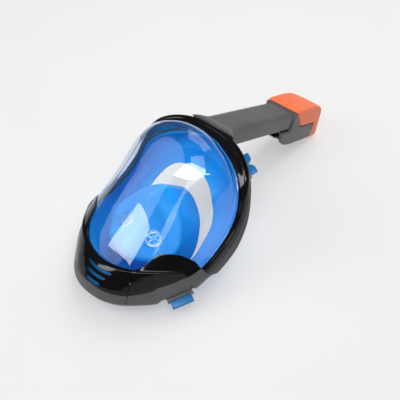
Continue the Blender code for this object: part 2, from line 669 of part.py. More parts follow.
def build_clip(level, tag, place):
    """A strap clip: a barrel round the pin, a plate with the strap's pocket and a notched tip."""
    half = CLIP_LENGTH / 2
    rows = []
    for a in (-half, half):
        barrel = [place(a, -CLIP_BARREL * math.sin(t), CLIP_BARREL * math.cos(t))
                  for t in (math.pi * i / 5 for i in range(6))]
        rows.append(barrel + [place(a, CLIP_REACH, -0.0024), place(a, CLIP_REACH + 0.0012, 0.0),
                              place(a, CLIP_REACH, 0.0020)])
    clip = add(f"clip_{tag}", loft("clip", rows), "clip")
    cut(clip, cutter("clip_bore", rod("clip_bore", place, CLIP_BORE, -half - BEYOND, half + BEYOND)))
    inner, outer = CLIP_POCKET
    pocket = block(place, (-half + 0.004, inner, -BEYOND), (half - 0.004, outer, CLIP_POCKET_FRONT))
    cut(clip, cutter("strap_pocket", loft("strap_pocket", pocket)))
    if level == "upper":
        tip = ((-CLIP_NOTCH_HALF, CLIP_REACH + 0.002), (CLIP_NOTCH_HALF, CLIP_REACH + 0.002),
               (0.0, CLIP_REACH - CLIP_NOTCH_DEPTH))
        notch = [[place(a, b, c) for a, b in tip] for c in (CLIP_POCKET_FRONT - BEYOND, BEYOND)]
        cut(clip, cutter("clip_notch", loft("clip_notch", notch)))


def clip_place(side, level):
    """The local frame of a strap clip's pin."""
    if level == "upper":
        t, at = UPPER_CLIP_T, rim(UPPER_CLIP_T, UPPER_CLIP_OUT, UPPER_CLIP_RISE, side)
        ahead = rim(t + 0.4, UPPER_CLIP_OUT, 0, side) - rim(t - 0.4, UPPER_CLIP_OUT, 0, side)
        return local_frame(at, ahead, rim(t, 0.02, 0, side) - rim(t, 0.01, 0, side))
    edge = sided(cover_edge(LOWER_CLIP_T), side)
    out = -inward_at(edge)
    ahead = sided(cover_edge(LOWER_CLIP_T + 0.3), side) - sided(cover_edge(LOWER_CLIP_T - 0.3), side)
    return local_frame(edge - out * 0.0015 + Vector((0, 0, LOWER_CLIP_RISE)), ahead, out)


def build_clips():
    for side, tag in ((1, "l"), (-1, "r")):
        for level in ("upper", "lower"):
            place = clip_place(side, level)
            build_fork(level, f"{level}_{tag}", place)
            build_clip(level, f"{level}_{tag}", place)


# Breathing cup and valves -------------------------------------------------------------
def cup_loop(share, inset, drop=0.0):
    """A loop of the breathing cup: share is 0 at its front wall and 1 at its back edge."""
    last = len(CUP_FRONT) - 1
    half = []
    for i in range(13):
        t = last * i / 12
        point = spline(CUP_FRONT, t) * (1 - share) + spline(CUP_REAR, t) * share
        middle = np.array((0.0, -0.036, 0.0))
        away = point - middle
        flat = math.hypot(away[0], away[1])
        point[:2] -= away[:2] / flat * inset
        half.append((point[0], point[1], point[2] - drop))
    return [Vector(p) for p in half] + [Vector((-x, y, z)) for x, y, z in reversed(half[1:-1])]


def build_cup():
    wall = 0.0018
    loops = [cup_loop(0, 0.020, -CUP_DOME), cup_loop(0, 0.0015), cup_loop(0.06, 0), cup_loop(0.5, 0),
             cup_loop(1, 0), cup_loop(1, wall), cup_loop(0.5, wall), cup_loop(0.06, wall + 0.001, wall),
             cup_loop(0, 0.020, wall - CUP_DOME)]
    cup = add("breathing_cup", loft("breathing_cup", loops, fans=True), "blue")
    for side, tag in ((1, "l"), (-1, "r")):
        centre = Vector((VALVE_AT[0] * side, VALVE_AT[1], VALVE_AT[2]))
        axis = Vector((0.35 * side, 0.10, 1.0))
        hole = [(-0.012, VALVE_RADIUS), (0.012, VALVE_RADIUS)]
        cut(cup, cutter(f"valve_hole_{tag}", turned("valve_hole", centre, axis, hole, 20)))
        inner = VALVE_RADIUS - GAP
        seat = [(-0.0020, inner), (0.0014, inner), (0.0014, inner - 0.0022), (-0.0020, inner - 0.0022)]
        add(f"inhale_seat_{tag}", turned("inhale_seat", centre, axis, seat, 20, closed=True), "clear")
        flap = [(-0.0031, inner - 0.0006), (-0.0023, inner - 0.0006)]
        add(f"inhale_flap_{tag}", turned("inhale_flap", centre, axis, flap, 20), "rubber")


def build_drain():
    """The exhale valve behind the slots of the chin."""
    centre, axis = Vector((0.0, -0.1105, -0.0130)), Vector((0.0, -0.42, 1.0))
    seat = [(0.0, 0.0105), (0.0020, 0.0105), (0.0020, 0.0080), (0.0, 0.0080)]
    add("drain_seat", turned("drain_seat", centre, axis, seat, 20, closed=True), "clear")
    add("drain_flap", turned("drain_flap", centre, axis, [(0.0023, 0.0098), (0.0031, 0.0098)], 20), "rubber")
    sections = []
    for i in range(9):
        x = 0.0205 * (2 * i / 8 - 1)
        sag = 0.0035 * (x / 0.02) ** 2
        rows = ((-0.0985, 0.0040), (-0.1180, -0.0040), (-0.1180, -0.0052), (-0.0985, 0.0028))
        sections.append([Vector((x, y + sag, z - 6 * x * x)) for y, z in rows])
    add("slot_insert", loft("slot_insert", sections), "clip")


def chin_base_section(t, side):
    """The lower shell, from the foot of the chin cover back to the rear frame."""
    foot = sided(cover_edge(t) + (0, 0, -0.0060 - GAP), side)
    inward = inward_at(foot)
    low = foot + inward * 0.0035 + Vector((0, 0, -0.0055))
    frame = rim(t, rim_width(t) + 0.0005, -0.0150, side)
    return [foot, low, frame + Vector((0, 0, -0.0011)), frame + Vector((0, 0, 0.0011)),
            low + inward * 0.0030 + Vector((0, 0, 0.0030)), foot + inward * 0.0024]


def lay_down():
    """Tips the mask to its rest pose, with its middle over the origin and its lowest point at 0."""
    rest_pose.rotation_euler = (REST_TILT, 0, 0)
    bpy.context.view_layer.update()
    graph = bpy.context.evaluated_depsgraph_get()
    points = []
    for obj in parts.objects:
        if obj.type == "MESH":
            solid = obj.evaluated_get(graph)
            points += [solid.matrix_world @ vertex.co for vertex in solid.data.vertices]
    points = np.array(points)
    low, high = points.min(axis=0), points.max(axis=0)
    rest_pose.location = (0, -(low[1] + high[1]) / 2, -low[2])


if __name__ == "__main__":
    build_lens()
    add("lens_gasket", ring("lens_gasket", gasket_section), "rubber")
    add("front_frame", ring("front_frame", front_frame_section), "gloss")
    add("rear_frame", ring("rear_frame", rear_frame_section), "grey")
    add("skirt", ring("skirt", skirt_section), "blue")
    build_cup()
    build_drain()
    accent = build_chin()
    cut(accent, *slot_cutters())
    add("chin_base", loft("chin_base", [chin_base_section(t, s) for t, s in across_chin()]), "grey")
    build_wing(1, "l")
    build_wing(-1, "r")
    build_clips()
    build_neck()
    build_latch()
    build_tube()
    build_divider()
    build_head()
    build_floats()
    lay_down()
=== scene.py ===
import json
import math

import bmesh
import bpy
import numpy as np
from mathutils import Matrix, Vector


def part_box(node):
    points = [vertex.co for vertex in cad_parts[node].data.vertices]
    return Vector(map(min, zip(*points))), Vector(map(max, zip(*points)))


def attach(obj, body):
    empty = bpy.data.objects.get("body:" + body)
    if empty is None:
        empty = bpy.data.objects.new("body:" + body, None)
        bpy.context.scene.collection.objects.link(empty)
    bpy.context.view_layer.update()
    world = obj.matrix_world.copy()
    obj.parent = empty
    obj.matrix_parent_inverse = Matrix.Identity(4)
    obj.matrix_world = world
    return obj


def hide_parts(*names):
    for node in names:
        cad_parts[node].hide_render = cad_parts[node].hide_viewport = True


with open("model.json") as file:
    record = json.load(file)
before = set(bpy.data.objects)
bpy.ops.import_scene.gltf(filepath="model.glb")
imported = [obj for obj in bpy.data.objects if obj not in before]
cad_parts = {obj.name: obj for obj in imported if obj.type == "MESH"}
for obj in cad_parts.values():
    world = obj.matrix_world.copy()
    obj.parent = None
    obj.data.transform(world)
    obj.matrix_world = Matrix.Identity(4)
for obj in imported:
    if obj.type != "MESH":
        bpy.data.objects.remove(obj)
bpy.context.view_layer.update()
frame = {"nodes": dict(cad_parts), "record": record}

# The mask's own frame: X to the wearer's left, Y up the face, Z out of the lens, in metres.
REST_TILT = math.radians(25.4)
SNORKEL_LEAN = math.atan2(0.75, 0.66)
SEAM = Vector((0.0, 0.118, -0.0141))
DIVIDER_W = (0.021, 0.137)
DIVIDER_V = (-0.0026, -0.0214)

# Camera: where it stands seen from the target, and the target in the mask's frame.
CAMERA_AZIMUTH = math.radians(40.63)
CAMERA_ELEVATION = math.radians(46.38)
CAMERA_ROLL = math.radians(0.53)
CAMERA_DISTANCE = 0.7501
CAMERA_LENS = 60.13
CAMERA_TARGET = Vector((0.03923, 0.02669, -0.01512))

# Half outlines, from the top centre round the wearer's left to the chin.
LENS_EDGE = [
    (0.0, 0.092, 0.000), (0.018, 0.090, -0.001), (0.034, 0.0845, -0.004),
    (0.050, 0.077, -0.007), (0.063, 0.0665, -0.011), (0.073, 0.052, -0.019),
    (0.0775, 0.035, -0.032), (0.0800, 0.0115, -0.038), (0.0815, -0.0145, -0.0360),
    (0.0812, -0.034, -0.031), (0.0715, -0.0535, -0.0185), (0.0565, -0.0690, -0.0055),
    (0.0376, -0.0826, 0.0025), (0.018, -0.090, 0.0038), (0.0, -0.0925, 0.004),
]
RIM_EDGE = [
    (0.0, 0.105, -0.001), (0.022, 0.105, -0.001), (0.0415, 0.1005, -0.003),
    (0.0585, 0.0915, -0.005), (0.0710, 0.080, -0.010), (0.0798, 0.062, -0.021),
    (0.0848, 0.039, -0.0385), (0.0870, 0.0125, -0.0470), (0.0880, -0.0145, -0.0460),
    (0.0878, -0.0357, -0.0385), (0.0760, -0.0560, -0.0245), (0.0602, -0.0737, -0.0125),
    (0.0400, -0.0900, -0.0060), (0.0195, -0.0985, -0.0035), (0.0, -0.1010, -0.0030),
]
SKIRT_REAR = [
    (0.0, 0.086, -0.036), (0.018, 0.0845, -0.037), (0.033, 0.080, -0.040),
    (0.047, 0.071, -0.046), (0.059, 0.059, -0.054), (0.068, 0.045, -0.062),
    (0.074, 0.028, -0.069), (0.077, 0.007, -0.073), (0.077, -0.015, -0.075),
    (0.074, -0.034, -0.075), (0.067, -0.052, -0.073), (0.054, -0.068, -0.0685),
    (0.036, -0.081, -0.0625), (0.018, -0.088, -0.0595), (0.0, -0.090, -0.0585),
]
COVER_FIRST = 9
COVER_EDGE = [
    (0.0915, -0.0345, -0.0395), (0.0845, -0.061, -0.0395), (0.0685, -0.0885, -0.034),
    (0.0420, -0.1150, -0.0190), (0.0215, -0.1260, -0.0120), (0.0, -0.1290, -0.0100),
]
COVER_MIDDLE_Y = -0.020
RECESS = 0.0035
RECESS_T = (9.75, 9.9, 11.05, 11.2)
COVER_RISE_T = (9.0, 9.5, 11.3, 11.9)
COVER_RISE = (0.0045, 0.0062, 0.0062, 0.0045)
HUMP_T = (9.0, 9.2, 9.5, 10.0, 10.5, 11.0, 11.5, 11.85, 14.0)
HUMP_Q = (0.955, 0.91, 0.855, 0.815, 0.80, 0.84, 0.925, 0.970, 0.972)
SPLIT = [0.28, 0.40, 0.54, 0.72, 0.72, 0.68]

LENS_CENTRE_Y = 0.0005
LENS_MIDDLE = 0.0276
LENS_SLOPE = 0.275
LENS_SLOPE_TURN = 0.025
LENS_FALL_X = 0.054
LENS_FALL_LESS = 0.32
LENS_FALL_Y = 0.020
LENS_HALF_X = 0.079
LENS_HALF_Y = 0.095
LENS_THICK = 0.0022
LENS_POWER_T = (0.0, 4.0, 6.5, 14.0)
LENS_POWER = (8.5, 8.5, 14.0, 14.0)
REAR_MORE_T = (4.0, 5.5, 7.0, 8.5, 9.0)
REAR_MORE = (0.0, 0.0028, 0.0042, 0.0034, 0.0)
LIP_T = (0.0, 4.0, 7.5, 10.0, 14.0)
LIP_WIDTH = (0.029, 0.030, 0.027, 0.021, 0.019)

TUBE_HALF = 0.022
TUBE_DEPTH = 0.024
TUBE_WALL = 0.0022
TUBE_LENGTH = 0.139
SPIGOT_LENGTH = 0.020
HEAD_HALF = 0.0245
HEAD_WALL = 0.0022
VALVE_AT = (0.0225, -0.0385, -0.0125)
VALVE_RADIUS = 0.0092
CUP_DOME = 0.006
FLOOR_GLOW = 0.42
WORLD_GLOW = 0.10
CARD_GLOW = 11.0
LAMPS = [  # name, azimuth, elevation, distance, size, power
    ("key", 50, 58, 1.5, 1.0, 15.0),
    ("front", -45, 42, 1.5, 1.0, 9.0),
    ("back", 190, 55, 1.6, 1.2, 17.0),
]
SLOT_ROWS = [(-0.1015, 0.019), (-0.1087, 0.0152), (-0.1160, 0.0112)]


# Materials ----------------------------------------------------------------------------
class Nodes:
    """A small helper that adds nodes to one material's tree."""

    def __init__(self, name):
        self.material = bpy.data.materials.new(name)
        self.material.use_nodes = True
        self.tree = self.material.node_tree
        self.shader = self.tree.nodes["Principled BSDF"]
        self.output = self.tree.nodes["Material Output"]
        self.place = self.add("ShaderNodeTexCoord").outputs["Object"]

    def add(self, kind, **settings):
        node = self.tree.nodes.new(kind)
        for key, value in settings.items():
            setattr(node, key, value)
        return node

    def link(self, out, into):
        self.tree.links.new(out, into)

    def noise(self, scale, detail=3.0, rough=0.5):
        node = self.add("ShaderNodeTexNoise")
        node.inputs["Scale"].default_value = scale
        node.inputs["Detail"].default_value = detail
        node.inputs["Roughness"].default_value = rough
        self.link(self.place, node.inputs["Vector"])
        return node.outputs["Fac"]

    def ranged(self, value, low, high, first=0.0, last=1.0):
        node = self.add("ShaderNodeMapRange")
        node.inputs["From Min"].default_value = first
        node.inputs["From Max"].default_value = last
        node.inputs["To Min"].default_value = low
        node.inputs["To Max"].default_value = high
        self.link(value, node.inputs["Value"])
        return node.outputs["Result"]

    def mixed(self, factor, one, two):
        node = self.add("ShaderNodeMix", data_type="RGBA")
        self.link(factor, node.inputs["Factor"])
        node.inputs[6].default_value = (*one, 1)
        node.inputs[7].default_value = (*two, 1)
        return node.outputs[2]

    def bumped(self, height, distance, strength=1.0, after=None):
        node = self.add("ShaderNodeBump")
        node.inputs["Strength"].default_value = strength
        node.inputs["Distance"].default_value = distance
        self.link(height, node.inputs["Height"])
        if after is not None:
            self.link(after, node.inputs["Normal"])
        return node.outputs["Normal"]


def shade(colour, factor):
    return tuple(min(1.0, channel * factor) for channel in colour)


def moulded(name, colour, rough, grain=0.00001, variation=0.10):
    """Injection-moulded plastic: a fine grain, soft flow marks and uneven sheen."""
    made = Nodes(name)
    flow = made.noise(24, 4, 0.55)
    made.link(made.mixed(made.ranged(flow, 0, 1, 0.3, 0.7), shade(colour, 1 - variation),
                         shade(colour, 1 + variation)), made.shader.inputs["Base Color"])
    handling = made.noise(90, 5, 0.65)
    made.link(made.ranged(handling, rough - 0.05, rough + 0.06, 0.3, 0.7), made.shader.inputs["Roughness"])
    fine = made.bumped(made.noise(2600, 2), grain)
    made.link(made.bumped(flow, grain * 6, 0.5, fine), made.shader.inputs["Normal"])
    made.shader.inputs["Specular IOR Level"].default_value = 0.5
    return made.material


def glossy(name, colour):
    """Polished black plastic: a clear skin over it, faint orange peel, dust-fine scuffs."""
    made = Nodes(name)
    cloud = made.noise(40, 3)
    made.link(made.mixed(cloud, shade(colour, 0.8), shade(colour, 1.35)), made.shader.inputs["Base Color"])
    scuffs = made.noise(420, 6, 0.75)
    made.link(made.ranged(scuffs, 0.06, 0.20, 0.35, 0.8), made.shader.inputs["Roughness"])
    made.link(made.bumped(made.noise(130, 2), 0.00002, 0.4), made.shader.inputs["Normal"])
    made.shader.inputs["Specular IOR Level"].default_value = 0.22
    made.shader.inputs["Coat Weight"].default_value = 0.05
    return made.material


def silicone(name, deep, light):
    """Soft translucent rubber, its blue a little lighter in some soft random patches and deeper in others.
    """
    made = Nodes(name)
    cloud = made.noise(30, 3)
    made.link(made.mixed(made.ranged(cloud, 0, 1, 0.3, 0.7), deep, light), made.shader.inputs["Base Color"])
    made.link(made.ranged(made.noise(150, 4), 0.30, 0.42, 0.3, 0.7), made.shader.inputs["Roughness"])
    made.link(made.bumped(made.noise(1500, 2), 0.000008), made.shader.inputs["Normal"])
    made.shader.inputs["Subsurface Weight"].default_value = 0.25
    made.shader.inputs["Subsurface Radius"].default_value = (0.2, 0.5, 1.0)
    made.shader.inputs["Subsurface Scale"].default_value = 0.004
    made.shader.inputs["Specular IOR Level"].default_value = 0.15
    return made.material


def clear(name, tint, smudge, ior):
    """Clear plastic that lamps shine through, with faint smears in its polish."""
    made = Nodes(name)
    made.shader.inputs["Base Color"].default_value = (*tint, 1)
    made.shader.inputs["Transmission Weight"].default_value = 1.0
    made.shader.inputs["IOR"].default_value = ior
    made.link(made.ranged(made.noise(60, 5, 0.7), 0.0, smudge, 0.45, 0.8), made.shader.inputs["Roughness"])
    made.link(made.bumped(made.noise(35, 2), 0.00002, 0.3), made.shader.inputs["Normal"])
    path = made.add("ShaderNodeLightPath")
    through = made.add("ShaderNodeBsdfTransparent")
    through.inputs["Color"].default_value = (*tint, 1)
    mix = made.add("ShaderNodeMixShader")
    made.link(path.outputs["Is Shadow Ray"], mix.inputs["Fac"])
    made.link(made.shader.outputs["BSDF"], mix.inputs[1])
    made.link(through.outputs["BSDF"], mix.inputs[2])
    made.link(mix.outputs["Shader"], made.output.inputs["Surface"])
    return made.material


def drawn_steel(name):
    made = Nodes(name)
    made.link(made.mixed(made.noise(300, 4), (0.42, 0.42, 0.43), (0.62, 0.62, 0.63)),
              made.shader.inputs["Base Color"])
    made.shader.inputs["Metallic"].default_value = 1.0
    made.link(made.ranged(made.noise(900, 3), 0.22, 0.38), made.shader.inputs["Roughness"])
    return made.material


LOOKS = {
    "lens_clear": clear("lens_polycarbonate", (0.93, 0.965, 0.99), 0.05, 1.45),
    "black_gloss": glossy("black_gloss", (0.004, 0.004, 0.005)),
    "wing_grey": moulded("wing_grey", (0.095, 0.092, 0.098), 0.42),
    "tube_grey": moulded("tube_grey", (0.112, 0.109, 0.113), 0.45),
    "blue_silicone": silicone("blue_silicone", (0.001, 0.19, 0.56), (0.004, 0.25, 0.66)),
    "blue_plastic": moulded("blue_plastic", (0.0, 0.18, 0.50), 0.36, variation=0.06),
    "orange_plastic": moulded("orange_plastic", (1.0, 0.20, 0.075), 0.42, variation=0.04),
    "black_rubber": moulded("black_rubber", (0.016, 0.016, 0.018), 0.65),
    "clear_plastic": clear("clear_valve", (0.86, 0.93, 0.97), 0.10, 1.45),
    "white_plastic": moulded("white_plastic", (0.75, 0.75, 0.74), 0.45, variation=0.03),
    "steel": drawn_steel("drawn_steel"),
}


# Meshes -------------------------------------------------------------------------------
def loft(name, sections, closed=False, fans=False):
    """Joins equal closed sections in order; the ends are capped unless the last meets the first."""
    count = len(sections[0])
    points = [tuple(point) for section in sections for point in section]
    rows = len(sections)
    faces = []
    for r in range(rows if closed else rows - 1):
        for i in range(count):
            j, n = (i + 1) % count, (r + 1) % rows
            faces.append((r * count + i, r * count + j, n * count + j, n * count + i))
    if not closed:
        for r in (0, rows - 1):
            ends = [r * count + i for i in range(count)]
            if not fans:
                faces.append(ends)
                continue
            middle = sum((Vector(points[k]) for k in ends), Vector()) / count
            points.append(tuple(middle))
            faces += [(ends[i], ends[(i + 1) % count], len(points) - 1) for i in range(count)]
    data = bpy.data.meshes.new(name)
    data.from_pydata(points, [], faces)
    mesh = bmesh.new()
    mesh.from_mesh(data)
    bmesh.ops.recalc_face_normals(mesh, faces=mesh.faces)
    if mesh.calc_volume(signed=True) < 0:
        bmesh.ops.reverse_faces(mesh, faces=mesh.faces)
    mesh.to_mesh(data)
    mesh.free()
    return data


def rounded(points, radius, steps=4):
    """A closed outline with each corner turned by a curve; radius is one value or one a corner."""
    points = [Vector(point) for point in points]
    if not radius:
        return points
    count = len(points)
    radii = radius if isinstance(radius, (list, tuple)) else [radius] * count
    made = []
    for i, corner in enumerate(points):
        before, after = points[i - 1] - corner, points[(i + 1) % count] - corner
        start = corner + before * min(radii[i] / max(before.length, 1e-9), 0.48)
        end = corner + after * min(radii[i] / max(after.length, 1e-9), 0.48)
        for k in range(steps + 1):
            f = k / steps
            made.append(start * (1 - f) ** 2 + corner * (2 * f * (1 - f)) + end * f ** 2)
    return made


def disc(centre, axis, radius, sides):
    turn = Vector(axis).to_track_quat("Z", "X").to_matrix()
    steps = [2 * math.pi * i / sides for i in range(sides)]
    return [centre + turn @ Vector((radius * math.cos(a), radius * math.sin(a), 0)) for a in steps]


def turned(name, centre, axis, profile, sides=64, closed=False):
    """A turned piece: profile is (distance along the axis, radius) pairs."""
    axis = Vector(axis).normalized()
    centre = Vector(centre)
    sections = [disc(centre + axis * along, axis, radius, sides) for along, radius in profile]
    return loft(name, sections, closed)


def place_of_mask():
    """The mask frame's place in the row frame, from the tube divider, whose corners are known."""
    low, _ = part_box("tube_divider")
    turn = Matrix.Rotation(REST_TILT, 4, "X")
    corners = [turn @ snorkel(0, w, v) for w in DIVIDER_W for v in DIVIDER_V]
    lift = Vector((0, low.y - min(c.y for c in corners), low.z - min(c.z for c in corners)))
    return Matrix.Translation(lift) @ turn


def helper(name, data):
    obj = bpy.data.objects.new(name, data)
    bpy.context.scene.collection.objects.link(obj)
    return obj


def finished(obj):
    """The object's mesh with its modifiers applied; the object itself goes."""
    graph = bpy.context.evaluated_depsgraph_get()
    graph.update()
    data = bpy.data.meshes.new_from_object(obj.evaluated_get(graph))
    bpy.data.objects.remove(obj, do_unlink=True)
    return data


def cut(data, *tools, operation="DIFFERENCE"):
    """The mesh with the tools' space taken away."""
    body = helper("being_cut", data)
    others = [helper("tool", tool) for tool in tools]
    for other in others:
        step = body.modifiers.new("cut", "BOOLEAN")
        step.operation = operation
        step.solver = "EXACT"
        step.object = other
    made = finished(body)
    for other in others:
        bpy.data.objects.remove(other, do_unlink=True)
    return made


def edged(data, width, segments=3, angle=30):
    """The mesh with its edges rounded."""
    body = helper("being_edged", data)
    step = body.modifiers.new("edges", "BEVEL")
    step.width = width
    step.segments = segments
    step.limit_method = "ANGLE"
    step.angle_limit = math.radians(angle)
    step.use_clamp_overlap = True
    return finished(body)


def piece(name, data, nodes, body, slot, sharp=35):
    """Puts a finished mesh on its body in place of the CAD nodes it stands for."""
    data.transform(PLACE)
    obj = helper(name, data)
    data.materials.clear()
    data.materials.append(LOOKS[slot])
    data.shade_smooth()
    data.set_sharp_from_angle(angle=math.radians(sharp))
    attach(obj, body)
    if nodes:
        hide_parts(*nodes)
    return obj


# Outlines -----------------------------------------------------------------------------
def spline(points, t, mirrored=True):
    """A point of the Catmull-Rom curve through the points; its ends mirror in X."""
    def at(k):
        if k < 0:
            return np.array(points[-k]) * (-1, 1, 1)
        if k > last:
            return np.array(points[2 * last - k]) * (-1, 1, 1)
        return np.array(points[k])

    last = len(points) - 1
    k = min(int(t), last - 1)
    f = t - k
    a, b, c, d = at(k - 1), at(k), at(k + 1), at(k + 2)
    if not mirrored and k == 0:
        a = 2 * b - c
    return 0.5 * (2 * b + (c - a) * f + (2 * a - 5 * b + 4 * c - d) * f * f
                  + (3 * b - a - 3 * c + d) * f ** 3)


STEPS_PER_POINT = 8
STATIONS = [(i / STEPS_PER_POINT, 1) for i in range(14 * STEPS_PER_POINT + 1)]
STATIONS += [(t, -1) for t, _ in reversed(STATIONS[1:-1])]


def sided(point, side):
    return Vector((point[0] * side, point[1], point[2]))


def cover_edge(t):
    edge = spline(COVER_EDGE, t - COVER_FIRST, mirrored=False)
    depth = float(np.interp(t, RECESS_T, (0.0, RECESS, RECESS, 0.0)))
    inward = np.array((-edge[0], COVER_MIDDLE_Y - edge[1], 0.0))
    return edge + inward / np.linalg.norm(inward) * depth


def inward_at(point):
    return Vector((-point.x, COVER_MIDDLE_Y - point.y, 0)).normalized()


def rim(t, out, rise, side=1):
    """A point `out` metres outside the lens edge and `rise` above the frame's slope."""
    lens, edge = spline(LENS_EDGE, t), spline(RIM_EDGE, t)
    across = edge - lens
    width = math.hypot(across[0], across[1])
    direction = across[:2] / width
    slope = across[2] / width if out > 0 else 0.0
    x, y = lens[:2] + direction * out
    return sided((x, y, lens[2] + slope * out + rise), side)


def rim_width(t):
    across = spline(RIM_EDGE, t) - spline(LENS_EDGE, t)
    return math.hypot(across[0], across[1])


def lens_point(t, q, drop=0.0, side=1):
    """A point of the lens: q is 1 at its edge and 0 at its centre."""
    x, y, edge_z = spline(LENS_EDGE, t)
    x, y = x * q, LENS_CENTRE_Y + (y - LENS_CENTRE_Y) * q
    turn = math.hypot(y, 0.012)
    fall = LENS_FALL_X + LENS_FALL_LESS * (y - turn) / 2
    top = LENS_MIDDLE - fall * (abs(x) / LENS_HALF_X) ** 3
    top += LENS_SLOPE * y + LENS_SLOPE_TURN * turn - LENS_FALL_Y * (max(y, 0) / LENS_HALF_Y) ** 4
    share = math.sqrt(max(0.0, 1 - q ** float(np.interp(t, LENS_POWER_T, LENS_POWER))))
    return sided((x, y, edge_z + (top - edge_z) * share - drop), side)


def ring(name, section):
    return loft(name, [section(t, side) for t, side in STATIONS], closed=True)


# Lens, frame and skirt ----------------------------------------------------------------
def lens_mesh():
    shares = [0.1, 0.22, 0.34, 0.46, 0.57, 0.67, 0.76, 0.84, 0.90, 0.945, 0.975]
    q_rings = [(1 - s * s) ** (1 / 14) for s in shares]
    q_rings += [0.70, 0.62, 0.54, 0.46, 0.38, 0.30, 0.22, 0.14, 0.06]
    loops = [[lens_point(t, q, 0, side) for t, side in STATIONS] for q in reversed(q_rings)]
    flange = [(0.0, -0.0002), (0.0036, -0.0002), (0.004, -0.0006), (0.004, -0.0018), (0.0036, -0.0022),
              (-0.0018, -0.0022), (-0.0022, -0.0019)]
    loops += [[rim(t, out, rise, side) for t, side in STATIONS] for out, rise in flange]
    loops += [[lens_point(t, q * 0.972, LENS_THICK, side) for t, side in STATIONS] for q in q_rings[1:]]
    return loft("lens", loops, fans=True)


def front_frame_section(t, side):
    width = rim_width(t)
    sink = float(np.interp(t, (8.88, 9.0), (0.0, 1.0)))
    corners = [
        (0.0010, 0.0004), (0.0014, 0.0022), (0.30 * width, 0.0030), (0.62 * width, 0.0020),
        (0.70 * width, 0.0026), (0.90 * width, 0.0014), (width, -0.0012), (width, -0.0058),
        (0.0044, -0.0058), (0.0044, 0.0004),
    ]
    low = [
        (0.0010, 0.0003), (0.0014, 0.0011), (0.0030, 0.0010), (0.0040, 0.0008),
        (0.0046, 0.0004), (0.0048, -0.0006), (width, -0.0035), (width, -0.0058),
        (0.0044, -0.0058), (0.0044, 0.0003),
    ]
    points = [rim(t, a + (c - a) * sink, b + (d - b) * sink, side)
              for (a, b), (c, d) in zip(corners, low)]
    return rounded(points, [0.0003, 0.0009, 0.003, 0.0006, 0.0006, 0.0022, 0.0018, 0.0006, 0.0002, 0.0002])


def rear_frame_section(t, side):
    width = rim_width(t) + float(np.interp(t, REAR_MORE_T, REAR_MORE))
    corners = [
        (0.0, -0.0044), (0.0040, -0.0044), (0.0040, -0.0064), (width - 0.0002, -0.0064),
        (width, -0.0078), (width - 0.0010, -0.0122), (width - 0.0030, -0.0134),
        (0.0072, -0.0134), (0.0072, -0.0100), (0.0, -0.0100),
    ]
    return rounded([rim(t, out, rise, side) for out, rise in corners],
                   [0.0003, 0.0003, 0.0003, 0.0006, 0.0010, 0.0020, 0.0016, 0.0006, 0.0004, 0.0004])


def skirt_section(t, side):
    flange = min(0.0066, rim_width(t))
    outer = [rim(t, -0.0020, -0.0103, side), rim(t, flange, -0.0103, side)]
    fold = rim(t, flange - 0.0006, -0.0150, side)
    rear = sided(spline(SKIRT_REAR, t), side)
    inward = Vector((-rear.x, -0.010 - rear.y, 0)).normalized()
    lip = rear + inward * float(np.interp(t, LIP_T, LIP_WIDTH)) + Vector((0, 0, 0.010))
    half = fold.lerp(rear, 0.5) - inward * 0.0015
    lift = Vector((0, 0, 0.0022))
    points = outer + [
        fold, half, rear - inward * 0.0005 + lift, rear + inward * 0.0025, lip,
        lip + lift - inward * 0.0003, rear + inward * 0.0045 + lift,
        half + inward * 0.0024, rim(t, -0.0020, -0.0128, side),
    ]
    radii = [0.0005, 0.0006, 0.002, 0.010, 0.0025, 0.0030, 0.0009, 0.0009, 0.0040, 0.010, 0.0008]
    return rounded(points, radii)


# Chin piece and wings -----------------------------------------------------------------
def cover_point(t, u, lift, side=1):
    """A point of the chin and wing surface: u is 0 at the lens edge and 1 at the outer edge."""
    start = spline(LENS_EDGE, t) + (0, 0, np.interp(t, COVER_RISE_T, COVER_RISE))
    end = cover_edge(t)
    across = end - start
    along = cover_edge(min(t + 0.05, 14)) - cover_edge(max(t - 0.05, COVER_FIRST))
    up = np.cross(along, across)
    up = up / np.linalg.norm(up)
    up = up if up[2] > 0 else -up
    bulge = np.interp(t, (9, 9.6, 11.3, 12, 14), (0.0, 0.002, 0.002, 0.0015, 0.004)) * 4 * u * (1 - u)
    return sided(start + across * u + up * (bulge + lift), side)


def share_of(row, t):
    return float(np.interp(t - COVER_FIRST, range(len(row)), row))


def accent_section(t, side):
    """The gloss panel: over the edge of the lens, then down to the grey cover."""
    thick = 0.0018
    split = share_of(SPLIT, t)
    q = float(np.interp(t, HUMP_T, HUMP_Q))
    over = [lens_point(t, q + (0.982 - q) * k / 4, -0.0012, side) for k in range(5)]
    top = [point + Vector((0, 0, 0.0006 + 0.0012 * k / 4)) for k, point in enumerate(over)]
    shares = [0.03 + (split - 0.03) * k / 5 for k in range(6)]
    outer = [cover_point(t, u, 0.0, side) for u in shares]
    inner = [cover_point(t, u, -thick, side) for u in reversed(shares)]
    return rounded(top + outer + inner + list(reversed(over)), 0.0005, 2)


def cover_section(t, side):
    """The grey cover: from the gloss panel to its outer edge, with a return wall behind."""
    split = share_of(SPLIT, t) + 0.012
    shares = [split + (0.97 - split) * k / 5 for k in range(6)]
    outer = [cover_point(t, u, 0.0, side) for u in shares] + [cover_point(t, 1.0, 0.0, side)]
    foot = sided(cover_edge(t) + (0, 0, -0.0060), side)
    inward = inward_at(foot) * 0.0018
    inner = [cover_point(t, u, -0.0018, side) for u in reversed(shares)]
    points = outer + [foot, foot + inward, outer[-1] + inward * 1.05 + Vector((0, 0, -0.0012))] + inner
    radii = [0.0005] + [0.0005] * 5 + [0.0022, 0.0006, 0.0006, 0.0010] + [0.0005] * 6
    return rounded(points, radii, 3)


def span(first, last, count):
    return [first + (last - first) * i / count for i in range(count + 1)]


